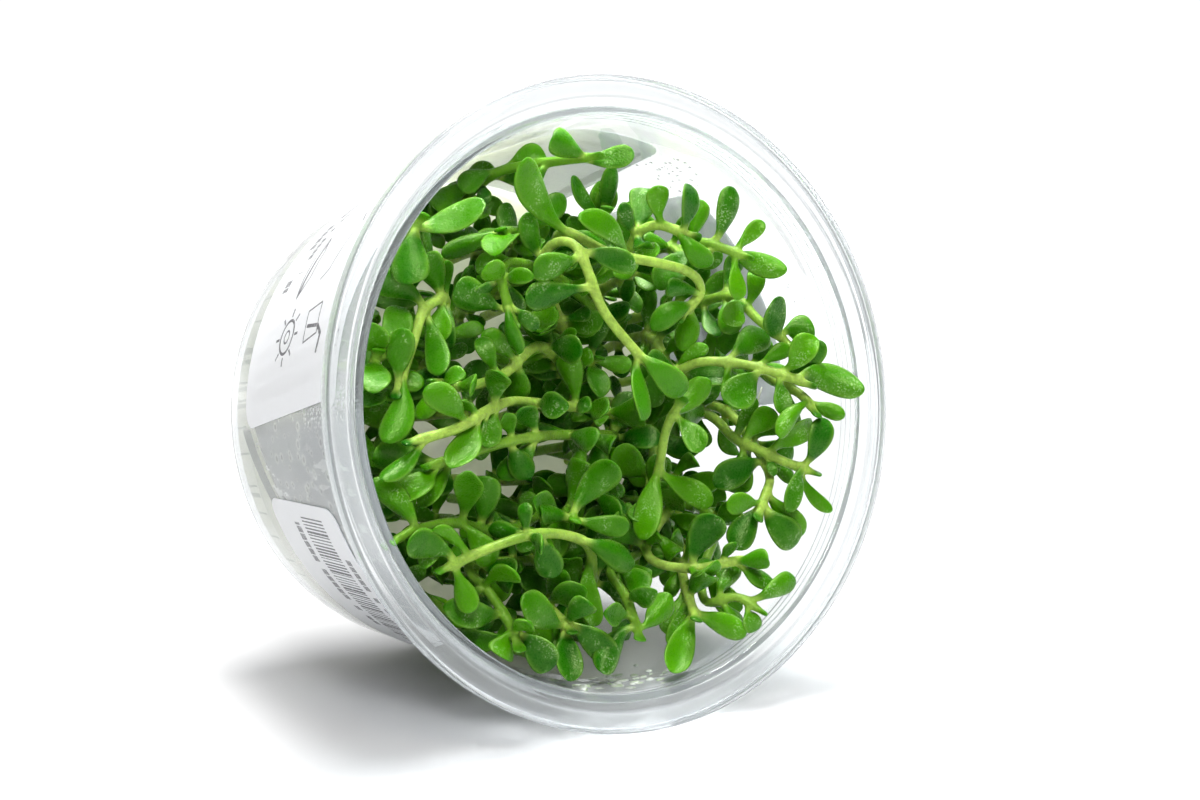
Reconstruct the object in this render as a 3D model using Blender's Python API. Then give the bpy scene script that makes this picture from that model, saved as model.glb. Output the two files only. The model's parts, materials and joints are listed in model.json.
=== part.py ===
"""Tissue culture water hyssop, lying on its side in its open clear cup.

The cup is a thin plastic tub with a wide lid flange. It holds a layer of nutrient gel, and the
gel carries a tangle of water hyssop sprigs. Three paper labels sit on the outside of the wall.

All shapes are worked out in the standing cup's own frame, in millimetres: +Z runs from the base
to the mouth, +X is the right and +Y the top of the mouth as the cup lies. One empty then lays the
cup down, so that the rim's edge and the base's edge both touch the floor.
"""

import math
import random

import bmesh
import bpy
from mathutils import Euler, Matrix, Vector
from mathutils.bvhtree import BVHTree

MM = 0.001

# Cup, millimetres
RIM_RADIUS = 50.0
BASE_RADIUS = 38.9
HEIGHT = 61.5
WALL = 0.8
FLOOR_THICKNESS = 0.9
WALL_SLOPE = 0.0975
FACETS = 32
RIM_EDGE_HEIGHT = 60.9
BASE_EDGE_HEIGHT = 2.4
BASE_FLAT_RADIUS = 35.9
LIP_OUTER = RIM_RADIUS - 0.5

# Nutrient gel
GAP = 0.3
GEL_TOP = 9.0

# Labels: first and last facet edge, low and high edge along the wall
LABEL_THICKNESS = 0.25
LABEL_CORNER = 3.0
LABELS = {
    "label_care": (5, 15, 14.0, 50.0),
    "label_code": (17, 21, 12.0, 42.0),
    "label_side": (-1, 4, 11.0, 43.0),
}

# Sprigs
ROOT_HEIGHT = GEL_TOP + GAP
STEM_ROOT_RADIUS = 0.85
STEM_TIP_RADIUS = 0.62
NODE_HALF = 0.75
NODE_SPACING = 2.3
PAIR_SPACING = 10.5
BENT_STRETCH = 9.0
LEAF_THICKNESS = 0.7
LEAF_WIDEST = 0.62
LEAF_LENGTHS = (7.0, 9.5)
CLEARANCE = 0.12
FILLER_COUNT = 6
SEED = 11

# Where a leaf that faces the open mouth turns its upper face
OUTWARD = Vector((-0.45, 0.0, 0.9))

# Each sprig: the stem's route from the gel, then its placed leaves as
# (share of the stem's length, leaf tip, leaf width)
SPRIGS = (
    # along the top of the cup
    (((-12, 24, 9.3), (-9, 36, 38), (-6, 38, 46), (-2, 38, 52), (1, 38, 56)),
     ((1.0, (8, 38, 58), 5), (0.97, (-5, 43, 57), 5), (0.86, (-8, 34, 49), 4.5),
      (0.74, (-1, 42, 47), 5.5), (0.68, (-15, 38, 42), 5), (0.62, (-19, 35, 44), 5.5))),
    # the bright stem that crosses the upper middle
    (((6, 16, 9.3), (4, 20, 35), (-3, 27, 52), (3, 23, 56), (10, 21, 58), (17, 19, 57),
      (20, 16, 55), (17, 13, 54)),
     ((0.6, (-16, 33, 57), 6), (1.0, (11, 11, 53), 5), (0.95, (12, 17, 55), 4.5),
      (0.72, (-4, 29, 59), 5))),
    # the arch over the middle, its end hanging down
    (((8, 8, 9.3), (6, 10, 34), (-5, 20, 49), (-6, 25, 53), (-4, 25, 57), (-3, 20, 59),
      (-1, 14, 59), (6, 6, 58)),
     ((1.0, (3, -3, 60), 5.5), (0.98, (11, -1, 58), 5), (0.81, (-14, 17, 58), 5))),
    (((12, 14, 9.3), (12, 14, 34), (3, 19, 43), (-4, 22, 46), (-13, 23, 52), (-16, 20, 55),
      (-15, 15, 55)),
     ((1.0, (-11, 14, 58), 3), (0.96, (-12, 10, 57), 4), (0.98, (-23, 20, 53), 7))),
    (((-18, 6, 9.3), (-20, 8, 34), (-21, 18, 46), (-27, 17, 50), (-30, 13, 52), (-34, 6, 53)),
     ((0.77, (-35, 22, 52), 5.5), (0.78, (-28, 7, 55), 5.5), (0.97, (-32, 14, 56), 5.5),
      (1.0, (-38, -2, 55), 5.5))),
    # three bright stems that lean left, one below another
    (((4, -2, 9.3), (6, 2, 34), (-5, 10, 46), (-16, 6, 52), (-24, 5, 54), (-28, 6, 54)),
     ((1.0, (-32, 1, 54), 4.5), (0.83, (-19, 12, 51), 4), (0.98, (-35, 9, 53), 5))),
    (((10, -4, 9.3), (12, -2, 36), (-7, 1, 48), (-15, 2, 52), (-21, 1, 55), (-27, -1, 57),
      (-34, -2, 57)),
     ((0.89, (-34, 4, 58), 5.5), (0.86, (-31, -6, 56), 5), (1.0, (-41, -7, 58), 4.5))),
    (((12, -8, 9.3), (14, -6, 34), (-6, -4, 48), (-15, -4, 51), (-24, -5, 54), (-31, -6, 55)),
     ((1.0, (-37, -11, 55), 5.5), (0.97, (-39, -4, 52), 6), (0.78, (-12, -10, 51), 5))),
    (((-4, -14, 9.3), (-2, -16, 34), (-15, -18, 46), (-27, -15, 53), (-35, -15, 56),
      (-39, -16, 57)),
     ((0.8, (-32, -6, 57), 6), (0.95, (-41, -7, 55), 5), (0.84, (-34, -21, 55), 4.5),
      (0.77, (-22, -22, 54), 5))),
    # the long stem across the lower left
    (((8, -12, 9.3), (10, -16, 36), (-1, -27, 48), (-5, -21, 54), (-15, -18, 58),
      (-24, -19, 58), (-31, -21, 57)),
     ((1.0, (-39, -18, 58), 6), (0.81, (-13, -25, 57), 5), (0.84, (-18, -13, 59), 3),
      (0.7, (2, -25, 56), 5), (0.63, (-4, -34, 52), 5))),
    (((16, -8, 9.3), (16, -12, 30), (-4, -16, 47), (-7, -17, 54)),
     ((1.0, (1, -19, 57), 5), (0.97, (-1, -9, 58), 6), (0.93, (-14, -13, 54), 5))),
    (((-2, -20, 9.3), (-2, -24, 34), (-22, -22, 47), (-22, -26, 52), (-21, -30, 55),
      (-21, -33, 57)),
     ((0.93, (-31, -27, 54), 5), (0.97, (-29, -32, 53), 5), (1.0, (-25, -38, 58), 6),
      (0.99, (-17, -39, 58), 6.5))),
    # the small sprigs at the bottom of the mouth
    (((8, -18, 9.3), (12, -24, 38), (0, -26, 49), (-1, -29, 54), (-1, -33, 57), (-1, -35, 59)),
     ((1.0, (6, -30, 59), 4.5), (0.97, (-8, -40, 59), 5))),
    (((4, -22, 9.3), (5, -28, 38), (-10, -29, 49), (-11, -33, 56)),
     ((1.0, (-13, -41, 58), 6), (0.95, (-20, -27, 58), 6), (0.98, (-4, -39, 57), 5))),
    (((16, -18, 9.3), (22, -24, 38), (15, -28, 49), (12, -32, 55), (10, -34, 59)),
     ((0.96, (4, -42, 60), 6.5), (1.0, (18, -38, 61), 5))),
    (((20, -16, 9.3), (27, -20, 40), (18, -29, 50), (15, -33, 55), (18, -32, 59),
      (20, -34, 61)),
     ((1.0, (29, -33, 61), 5), (0.97, (21, -40, 60), 4))),
    (((18, -12, 9.3), (22, -16, 36), (8, -26, 47), (11, -29, 54), (17, -28, 58),
      (20, -27, 59)),
     ((1.0, (25, -31, 60), 4), (0.95, (19, -24, 60), 3))),
    # right of the middle
    (((20, -2, 9.3), (22, -6, 32), (14, -16, 43), (12, -11, 50), (12, -5, 53), (13, -2, 55)),
     ((1.0, (15, -9, 58), 4.5), (0.98, (20, 2, 55), 5), (0.78, (7, -22, 51), 6),
      (0.81, (20, -18, 52), 5))),
    (((24, 0, 9.3), (28, -3, 38), (27, -8, 50), (28, -10, 55), (30, -12, 58), (33, -14, 61)),
     ((1.0, (36, -6, 63), 5.5), (0.99, (36, -21, 62), 3), (0.96, (28, -20, 61), 4.5),
      (0.88, (36, -6, 59), 5))),
    (((26, -2, 9.3), (31, -1, 38), (30, -8, 51), (29, -13, 56), (27, -16, 57), (25, -19, 58)),
     ((0.97, (30, -26, 59), 6.5), (1.0, (20, -25, 57), 5.5), (0.83, (20, -11, 53), 6))),
    # the long sprig that reaches the right edge of the mouth
    (((22, 6, 9.3), (22, 10, 34), (19, 4, 46), (21, 5, 51), (26, 4, 55), (30, 2, 59),
      (33, 0, 62)),
     ((1.0, (42, -2, 66), 5.5), (0.94, (37, 4, 64), 5), (0.88, (21, -2, 57), 6.5))),
    (((28, 2, 9.3), (33, 4, 42), (33, 0, 56), (34, -2, 60), (34, -4, 62)),
     ((0.97, (39, -6, 64), 3.5), (1.0, (27, -8, 62), 3.5))),
    (((22, 12, 9.3), (27, 14, 38), (29, 15, 50), (30, 11, 55), (33, 7, 58)),
     ((1.0, (37, 8, 61), 6), (0.98, (33, 14, 62), 6), (0.84, (24, 11, 54), 5),
      (0.8, (32, 19, 54), 4))),
    # the small sprigs at the upper right
    (((16, 14, 9.3), (18, 20, 36), (12, 22, 46), (11, 26, 52), (13, 27, 55), (17, 25, 57)),
     ((1.0, (17, 33, 58), 5), (0.92, (12, 33, 57), 5), (0.84, (8, 31, 53), 3.5),
      (0.97, (19, 19, 58), 4))),
    (((20, 18, 9.3), (24, 24, 38), (22, 22, 48), (20, 24, 54), (22, 23, 57), (25, 21, 60)),
     ((0.88, (25, 32, 59), 4.5), (1.0, (29, 26, 61), 3.5), (0.98, (32, 18, 62), 5.5),
      (0.95, (23, 14, 60), 4), (0.91, (17, 19, 59), 3.5))),
    # the large leaves at the upper left
    (((-26, 16, 9.3), (-32, 19, 36), (-29, 27, 48), (-28, 30, 53)),
     ((1.0, (-18, 32, 56), 6), (0.97, (-35, 23, 53), 7), (0.98, (-18, 27, 51), 5))),
    (((-10, 14, 9.3), (-8, 18, 34), (-6, 27, 44), (-12, 28, 50)),
     ((1.0, (-16, 21, 53), 6.5), (0.97, (-22, 25, 48), 4), (0.89, (2, 31, 48), 5.5))),
    (((6, 22, 9.3), (13, 27, 34), (9, 28, 44), (8, 30, 48)),
     ((0.97, (3, 36, 47), 4), (1.0, (9, 37, 50), 4))),
    # the left edge
    (((-30, 4, 9.3), (-35, 3, 38), (-36, 11, 51)),
     ((1.0, (-28, 16, 53), 6.5), (0.97, (-42, 5, 55), 6), (0.95, (-36, 20, 54), 6))),
    (((-28, -10, 9.3), (-33, -10, 36), (-32, -6, 47)),
     ((1.0, (-40, 0, 51), 6.5), (0.97, (-25, -10, 50), 5), (0.92, (-38, -13, 50), 6))),
)


def clear_scene():
    for obj in list(bpy.data.objects):
        bpy.data.objects.remove(obj, do_unlink=True)


def make_material(name, color, roughness, metallic=0.0):
    material = bpy.data.materials.new(name)
    material.use_nodes = True
    shader = material.node_tree.nodes["Principled BSDF"]
    shader.inputs["Base Color"].default_value = (*color, 1.0)
    shader.inputs["Roughness"].default_value = roughness
    shader.inputs["Metallic"].default_value = metallic
    material.diffuse_color = (*color, 1.0)
    return material


def finish_object(bm, name, material, parent, sharp_angle=40):
    """Turn a mesh in millimetres of the standing frame into a named object."""
    bmesh.ops.recalc_face_normals(bm, faces=bm.faces)
    bmesh.ops.scale(bm, vec=(MM, MM, MM), verts=bm.verts)
    mesh = bpy.data.meshes.new(name)
    bm.to_mesh(mesh)
    bm.free()
    mesh.shade_smooth()
    mesh.set_sharp_from_angle(angle=math.radians(sharp_angle))
    mesh.materials.append(material)
    obj = bpy.data.objects.new(name, mesh)
    bpy.context.collection.objects.link(obj)
    obj.parent = parent
    return obj


# Cup, gel and labels

def outer_wall(height):
    return BASE_RADIUS + WALL_SLOPE * height


def inner_wall(height):
    return outer_wall(height) - WALL


def facet_angle(index):
    """Angle of a facet's edge, with a flat facet turned to the floor."""
    return 2 * math.pi * (index + 0.5) / FACETS


def turned(profile, first=0, last=FACETS):
    """Spin a profile of (radius, height) points round the cup's axis."""
    bm = bmesh.new()
    start = facet_angle(first)
    corners = [bm.verts.new((r * math.cos(start), r * math.sin(start), z)) for r, z in profile]
    full = last - first == FACETS
    if full:
        geom = corners + [bm.edges.new(pair) for pair in zip(corners, corners[1:])]
    else:
        geom = [bm.faces.new(corners)]
    bmesh.ops.spin(bm, geom=geom, cent=(0, 0, 0), axis=(0, 0, 1),
                   angle=facet_angle(last) - start, steps=last - first, use_merge=full)
    bmesh.ops.remove_doubles(bm, verts=bm.verts, dist=0.001)
    return bm


def make_cup(material, parent):
    top_in = inner_wall(59.4)
    profile = [
        (0, 0), (BASE_FLAT_RADIUS, 0), (37.9, 0.6), (BASE_RADIUS, BASE_EDGE_HEIGHT),
        (outer_wall(55.0), 55.0), (outer_wall(55.0) + 0.5, 55.6), (outer_wall(59.0) + 0.5, 60.0),
        (RIM_RADIUS - 1.0, 60.2), (RIM_RADIUS - 0.7, 58.6), (RIM_RADIUS - 0.1, 58.6),
        (RIM_RADIUS, RIM_EDGE_HEIGHT), (LIP_OUTER, HEIGHT), (LIP_OUTER - 1.1, HEIGHT),
        (RIM_RADIUS - 2.2, 60.95), (top_in + 0.9, 60.75), (top_in + 0.5, 59.6), (top_in, 59.4),
        (inner_wall(3.0), 3.0), (36.4, FLOOR_THICKNESS), (0, FLOOR_THICKNESS),
    ]
    return finish_object(turned(profile), "cup", material, parent)


def make_gel(material, parent):
    low = FLOOR_THICKNESS + GAP
    profile = [
        (0, low), (36.2, low), (inner_wall(3.2) - GAP, 3.2), (inner_wall(GEL_TOP) - GAP, GEL_TOP),
        (0, GEL_TOP),
    ]
    return finish_object(turned(profile), "nutrient_gel", material, parent)


def make_label(name, first, last, low, high, material, parent):
    inside = GAP
    outside = GAP + LABEL_THICKNESS
    profile = [
        (outer_wall(low) + inside, low), (outer_wall(low) + outside, low),
        (outer_wall(high) + outside, high), (outer_wall(high) + inside, high),
    ]
    bm = turned(profile, first, last)
    ends = (facet_angle(first), facet_angle(last))
    corner_edges = []
    for edge in bm.edges:
        a, b = (v.co for v in edge.verts)
        level = abs(a.z - b.z) < 0.01 and min(abs(a.z - low), abs(a.z - high)) < 0.01
        if level and edge.calc_length() < 2 * LABEL_THICKNESS:
            turn = math.atan2(a.y, a.x) % (2 * math.pi)
            if min(abs(turn - end % (2 * math.pi)) for end in ends) < 0.01:
                corner_edges.append(edge)
    bmesh.ops.bevel(bm, geom=corner_edges, offset=LABEL_CORNER, segments=3, profile=0.5,
                    affect="EDGES", material=-1)
    return finish_object(bm, name, material, parent)


# Sprigs: the layout

def radius_limit(height):
    """Largest distance from the axis that a leaf may reach at a height."""
    if height > HEIGHT + 0.6:
        return RIM_RADIUS - 4.0
    return inner_wall(min(height, 59.4)) * math.cos(math.pi / FACETS) - 0.45


def kept_inside(point, margin=0.0):
    flat = Vector((point[0], point[1], 0))
    limit = radius_limit(point[2]) - margin
    if flat.length > limit:
        flat *= limit / flat.length
    return Vector((flat.x, flat.y, point[2]))


class Stem:
    """A smooth line through the route's points, with a side direction carried along it."""

    def __init__(self, route):
        points = [Vector(p) for p in route]
        points = [points[0]] + [kept_inside(p, 1.2) for p in points[1:]]
        raw = []
        for i in range(len(points) - 1):
            before = points[i - 1] if i else 2 * points[0] - points[1]
            a, b = points[i], points[i + 1]
            after = points[i + 2] if i + 2 < len(points) else 2 * b - a
            for k in range(16):
                raw.append(catmull_rom(before, a, b, after, k / 16))
        raw.append(points[-1])
        self.marks = [0.0]
        for a, b in zip(raw, raw[1:]):
            self.marks.append(self.marks[-1] + (b - a).length)
        self.raw = raw
        self.length = self.marks[-1]
        self.sides = self.carry_side()

    def carry_side(self):
        tangent = (self.raw[1] - self.raw[0]).normalized()
        side = tangent.cross(Vector((0.3, 1, 0.1))).normalized()
        sides = []
        for i in range(len(self.raw)):
            tangent = self.tangent_near(i)
            side = (side - tangent * side.dot(tangent)).normalized()
            sides.append(side)
        return sides

    def tangent_near(self, i):
        low = max(i - 1, 0)
        high = min(i + 1, len(self.raw) - 1)
        return (self.raw[high] - self.raw[low]).normalized()

    def at(self, along):
        """Place, tangent and side direction at a length along the stem."""
        along = min(max(along, 0.0), self.length)
        i = next(k for k in range(1, len(self.marks)) if self.marks[k] >= along)
        share = (along - self.marks[i - 1]) / (self.marks[i] - self.marks[i - 1])
        place = self.raw[i - 1].lerp(self.raw[i], share)
        tangent = self.tangent_near(i - 1).lerp(self.tangent_near(i), share).normalized()
        side = self.sides[i - 1].lerp(self.sides[i], share)
        side = (side - tangent * side.dot(tangent)).normalized()
        return place, tangent, side

    def radius(self, along):
        share = along / self.length
        return STEM_ROOT_RADIUS + (STEM_TIP_RADIUS - STEM_ROOT_RADIUS) * share

    def ring(self, along, scale=1.0):
        """The four corners of the stem's square section."""
        place, tangent, side = self.at(along)
        other = tangent.cross(side)
        r = self.radius(along) * scale
        return [place + side * (a * r) + other * (b * r)
                for a, b in ((1, 1), (-1, 1), (-1, -1), (1, -1))]


def catmull_rom(a, b, c, d, t):
    return 0.5 * (2 * b + (c - a) * t + (2 * a - 5 * b + 4 * c - d) * t * t
                  + (3 * b - a - 3 * c + d) * t * t * t)


class Leaf:
    """A leaf that grows from one side face of a node."""

    def __init__(self, stem, node, face, tip, width, swing=0.0, lift=0.0, size=1.0):
        self.face = face
        low = stem.ring(node - NODE_HALF)
        high = stem.ring(node + NODE_HALF)
        i, j = face, (face + 1) % 4
        self.base = [low[i], low[j], high[j], high[i]]
        centre = sum(self.base, Vector()) / 4
        place, tangent, _ = stem.at(node)
        out = (centre - place).normalized()
        across = (low[j] - low[i]).normalized()
        reach = (tip - centre) * size
        facing = tangent * 0.6 + OUTWARD
        axis = reach.normalized()
        normal = (facing - axis * facing.dot(axis)).normalized()
        blade = axis.cross(normal)
        if across.cross(tangent).dot(out) * blade.cross(normal).dot(axis) < 0:
            blade = -blade
        if blade.dot(across) + normal.dot(tangent) < 0:
            blade, normal = -blade, -normal
        turn = Matrix.Rotation(lift, 3, blade) @ Matrix.Rotation(swing, 3, normal)
        reach = turn @ reach
        normal = turn @ normal
        blade = turn @ blade
        self.tip = centre + reach
        self.length = reach.length
        bend = centre + out * (0.22 * self.length) + reach * 0.3
        self.path = (centre, bend, self.tip)
        self.width = width * (0.5 + 0.5 * size)
        self.blade = blade
        self.normal = normal
        self.across = across
        self.tangent = tangent

    def place(self, t):
        a, b, c = self.path
        return a * (1 - t) ** 2 + b * (2 * t * (1 - t)) + c * t * t

    def section(self, t, half_width, half_thick):
        """The four corners of the leaf's section, in the order of its base."""
        here = self.place(t)
        mix = min(t / 0.35, 1.0)
        blade = self.across.lerp(self.blade, mix).normalized()
        normal = self.tangent.lerp(self.normal, mix).normalized()
        w, n = blade * half_width, normal * half_thick
        return [here - w - n, here + w - n, here + w + n, here - w + n]

    def rings(self, extra=0.0):
        """Widest section and tip; the tip's corners meet in pairs."""
        widest = self.section(LEAF_WIDEST, self.width / 2 + extra, LEAF_THICKNESS / 2 + extra)
        tip = self.section(1.0, self.width * 0.2 + extra, extra)
        return [widest, tip]

    def cage(self, start=0.0):
        """A slightly swollen copy, used to keep leaves clear of each other."""
        if start == 0.0:
            first = self.section(0.12, 1.0, 0.8)
        else:
            first = self.section(start, self.width * 0.4, LEAF_THICKNESS / 2 + CLEARANCE)
        return [first] + self.rings(CLEARANCE)


def tree_of(rings):
    """A search tree for a closed tube through rings of four corners."""
    points = [p for ring in rings for p in ring]
    faces = []
    for r in range(len(rings) - 1):
        for k in range(4):
            a = 4 * r + k
            b = 4 * r + (k + 1) % 4
            faces.append((a, b, b + 4))
            faces.append((a, b + 4, a + 4))
    last = 4 * (len(rings) - 1)
    faces += [(0, 1, 2), (0, 2, 3), (last, last + 1, last + 2), (last, last + 2, last + 3)]
    return BVHTree.FromPolygons(points, faces), points


class Space:
    """What is already placed, as swollen tubes with their boxes."""

    def __init__(self):
        self.items = []

    def add(self, rings, owner):
        tree, points = tree_of(rings)
        self.items.append((tree, box_of(points), owner))

    def free(self, rings, skip=None):
        tree, points = tree_of(rings)
        low, high = box_of(points)
        for other, (olow, ohigh), owner in self.items:
            if owner == skip:
                continue
            if any(low[k] > ohigh[k] or high[k] < olow[k] for k in range(3)):
                continue
            if tree.overlap(other):
                return False
        return True


def box_of(points):
    low = tuple(min(p[k] for p in points) for k in range(3))
    high = tuple(max(p[k] for p in points) for k in range(3))
    return low, high


class Sprig:
    """One stem with its leaves, grown as one piece."""

    def __init__(self, name, route, wanted):
        self.name = name
        self.wanted = wanted
        self.stem = Stem(route)
        self.nodes = {}

    def stem_rings(self, extra=0.0):
        rings = []
        steps = max(2, math.ceil(self.stem.length / 2.0))
        for k in range(steps + 1):
            along = self.stem.length * k / steps
            scale = 1 + extra / self.stem.radius(along)
            rings.append(self.stem.ring(along, scale))
        return rings

    def node_for(self, along, reach_to):
        """The node and side face that best carry a leaf to a tip."""
        top = self.stem.length - NODE_HALF - 0.25
        along = min(max(along, 3.0), top)
        near = [n for n in self.nodes if abs(n - along) < NODE_SPACING]
        for node in sorted(near, key=lambda n: abs(n - along)) or [along]:
            face = self.best_face(node, reach_to)
            if face is not None:
                return node, face
        if not near:
            return None, None
        along = min(near) - NODE_SPACING
        if along < 3.0 or any(abs(n - along) < NODE_SPACING * 0.98 for n in self.nodes):
            return None, None
        return along, self.best_face(along, reach_to)

    def best_face(self, node, reach_to):
        place, _, _ = self.stem.at(node)
        ring = self.stem.ring(node)
        taken = self.nodes.get(node, {})
        scores = []
        for face in range(4):
            if face not in taken:
                out = (ring[face] + ring[(face + 1) % 4]) / 2 - place
                scores.append((out.normalized().dot((reach_to - place).normalized()), face))
        if not scores or max(scores)[0] < 0.05:
            return None
        return max(scores)[1]

    def stations(self):
        """Lengths along the stem where it has a ring."""
        marks = [0.0]
        for node in sorted(self.nodes):
            start, end = node - NODE_HALF, node + NODE_HALF
            self.fill(marks, start)
            marks += [start, end]
        if self.stem.length - marks[-1] > 0.4:
            self.fill(marks, self.stem.length)
            marks.append(self.stem.length)
        return marks

    @staticmethod
    def fill(marks, end):
        """Add rings so that no stretch of bent stem is longer than BENT_STRETCH."""
        start = marks[-1]
        count = math.ceil((end - start) / BENT_STRETCH) - 1
        for k in range(count):
            marks.append(start + (end - start) * (k + 1) / (count + 1))


def inside_cup(rings):
    for ring in rings:
        for p in ring:
            if p.z < GEL_TOP + GAP or math.hypot(p.x, p.y) > radius_limit(p.z) + 0.1:
                return False
    return True


def place_leaf(sprig, space, along, tip, width, tries):
    node, face = sprig.node_for(along, tip)
    if face is None:
        return False
    for swing, lift, size in tries:
        leaf = Leaf(sprig.stem, node, face, tip, width, math.radians(swing),
                    math.radians(lift), size)
        cage = leaf.cage()
        outer = leaf.cage(0.4)
        if not inside_cup(cage[1:]) or not space.free(cage, skip=sprig.name):
            continue
        if not space.free(outer):
            continue
        sprig.nodes.setdefault(node, {})[face] = leaf
        space.add(cage, sprig.name + "_leaf")
        return True
    return False


PLACED_TRIES = [(swing, lift, size) for size in (1.0, 0.86, 0.72)
                for lift in (0, 12, -12, 24, -24, 38)
                for swing in (0, 12, -12, 26, -26)]
GROWN_TRIES = [(swing, lift, size) for size in (1.0, 0.8, 0.62)
               for lift in (0, 18, -18, 34) for swing in (0, 24, -24)]


def filler_routes(chance):
    """Short sprigs deep in the cup, spread evenly round its axis."""
    routes = []
    for k in range(FILLER_COUNT):
        turn = math.radians(137.5) * k + 0.7
        radius = 33.0 * math.sqrt((k + 0.6) / FILLER_COUNT)
        x, y = radius * math.cos(turn), radius * math.sin(turn)
        lean = chance.uniform(-0.12, 0.12)
        high = chance.uniform(36, 44)
        routes.append(((x, y, ROOT_HEIGHT), (x * (1.05 + lean), y * 1.05, 22),
                       (x * (1.0 - lean), y * (1.1 + lean), high)))
    return routes


def stem_shifts():
    yield 0.0, 0.0
    for reach in (1.5, 2.6, 3.8):
        for k in range(8):
            yield reach * math.cos(k * math.pi / 4), reach * math.sin(k * math.pi / 4)


def lay_out():
    """Place every stem, then the placed leaves, then the leaves lower on the stems."""
    chance = random.Random(SEED)
    space = Space()
    sprigs = []
    plans = list(SPRIGS) + [(route, ()) for route in filler_routes(chance)]
    for route, wanted in plans:
        for dx, dy in stem_shifts():
            moved = [(x + dx * share, y + dy * share, z) for (x, y, z), share
                     in zip(route, [1.0] * (len(route) - 2) + [0.7, 0.2])]
            sprig = Sprig(f"sprig_{len(sprigs) + 1:02d}", moved, wanted)
            rings = sprig.stem_rings(0.15)
            if space.free(rings):
                space.add(rings, sprig.name)
                sprigs.append(sprig)
                break
    for sprig in sprigs:
        for share, tip, width in sorted(sprig.wanted, reverse=True):
            place_leaf(sprig, space, share * sprig.stem.length, kept_inside(tip, 0.3), width,
                       PLACED_TRIES)
    for sprig in sprigs:
        grow_lower_leaves(sprig, space, chance)
    return sprigs


def grow_lower_leaves(sprig, space, chance):
    """Opposite pairs up the stem, each pair turned a quarter from the last."""
    stem = sprig.stem
    end = min(sprig.nodes) - 5.0 if sprig.nodes else stem.length - 0.9
    along = end
    pair = 0
    while along > 9.0:
        place, tangent, side = stem.at(along)
        out = side if pair % 2 else tangent.cross(side)
        for sign in (1, -1):
            length = chance.uniform(*LEAF_LENGTHS)
            reach = (out * sign + tangent * chance.uniform(0.25, 0.7)).normalized() * length
            width = length * chance.uniform(0.58, 0.7)
            place_leaf(sprig, space, along, place + reach, width, GROWN_TRIES)
        along -= PAIR_SPACING * chance.uniform(0.85, 1.15)
        pair += 1


# Sprigs: the solids

def extrude_to(bm, face, ring_from, ring_to):
    """Extrude one face and carry each new corner to its place on the next ring."""
    new_face = bmesh.ops.extrude_discrete_faces(bm, faces=[face])["faces"][0]
    for vert in new_face.verts:
        nearest = min(range(4), key=lambda i: (ring_from[i] - vert.co).length_squared)
        vert.co = ring_to[nearest]
    return new_face


def face_on(bm, corners):
    centre = sum(corners, Vector()) / len(corners)
    return min(bm.faces, key=lambda f: (f.calc_center_median() - centre).length_squared)


def make_sprig(sprig, material, parent):
    marks = sprig.stations()
    ring = sprig.stem.ring(marks[0])
    next_ring = sprig.stem.ring(marks[1])
    bm = bmesh.new()
    bmesh.ops.create_cube(bm, size=2.0)
    corner = {(1, 1): 0, (-1, 1): 1, (-1, -1): 2, (1, -1): 3}
    for vert in bm.verts:
        place = next_ring if vert.co.z > 0 else ring
        vert.co = place[corner[round(vert.co.x), round(vert.co.y)]]
    ring = next_ring
    top = face_on(bm, ring)
    for mark in marks[2:]:
        next_ring = sprig.stem.ring(mark, 0.8 if mark == marks[-1] else 1.0)
        top = extrude_to(bm, top, ring, next_ring)
        ring = next_ring
    tips = []
    for faces in sprig.nodes.values():
        for leaf in faces.values():
            face = face_on(bm, leaf.base)
            ring = leaf.base
            for next_ring in leaf.rings():
                face = extrude_to(bm, face, ring, next_ring)
                ring = next_ring
            tips += face.verts
    bmesh.ops.remove_doubles(bm, verts=tips, dist=0.01)
    return finish_object(bm, sprig.name, material, parent, sharp_angle=60)


def lay_down():
    """An empty that turns the standing cup on its side, mouth to the front."""
    flat = math.cos(math.pi / FACETS)
    rim, base = RIM_RADIUS * flat, BASE_RADIUS * flat
    lean = math.atan2(rim - base, RIM_EDGE_HEIGHT - BASE_EDGE_HEIGHT)
    lift = rim * math.cos(lean) - RIM_EDGE_HEIGHT * math.sin(lean)
    front = -LIP_OUTER * flat * math.sin(lean) - HEIGHT * math.cos(lean)
    back = BASE_FLAT_RADIUS * flat * math.sin(lean)
    pose = bpy.data.objects.new("lying_cup", None)
    bpy.context.collection.objects.link(pose)
    pose.rotation_euler = Euler((math.pi / 2 - lean, 0, 0))
    pose.location = (0, -(front + back) / 2 * MM, lift * MM)
    return pose


def main():
    clear_scene()
    clear_plastic = make_material("clear_plastic", (0.86, 0.89, 0.90), 0.08)
    gel = make_material("nutrient_gel", (0.80, 0.86, 0.72), 0.25)
    paper = make_material("label_paper", (0.88, 0.88, 0.89), 0.5)
    green = make_material("hyssop_green", (0.09, 0.24, 0.03), 0.38)
    pose = lay_down()
    make_cup(clear_plastic, pose)
    make_gel(gel, pose)
    for name, (first, last, low, high) in LABELS.items():
        make_label(name, first, last, low, high, paper, pose)
    for sprig in lay_out():
        make_sprig(sprig, green, pose)


main()
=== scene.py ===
"""Looks of a tissue culture cup of water hyssop, lying open on its side.

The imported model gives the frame: where the cup lies, how large it is and which nodes it has. Each
operator below makes one piece, or a group of like pieces, in the standing cup's own frame, where
+Z runs from the base to the mouth, +X is the right and +Y the top of the mouth as the cup lies.
That frame is in millimetres, and finish_piece lays each piece down into the model's metres.
"""

import json
import math
import random

import bmesh
import bpy
from bpy.props import FloatProperty, FloatVectorProperty, IntProperty, PointerProperty
from mathutils import Matrix, Vector
from mathutils.bvhtree import BVHTree


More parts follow.
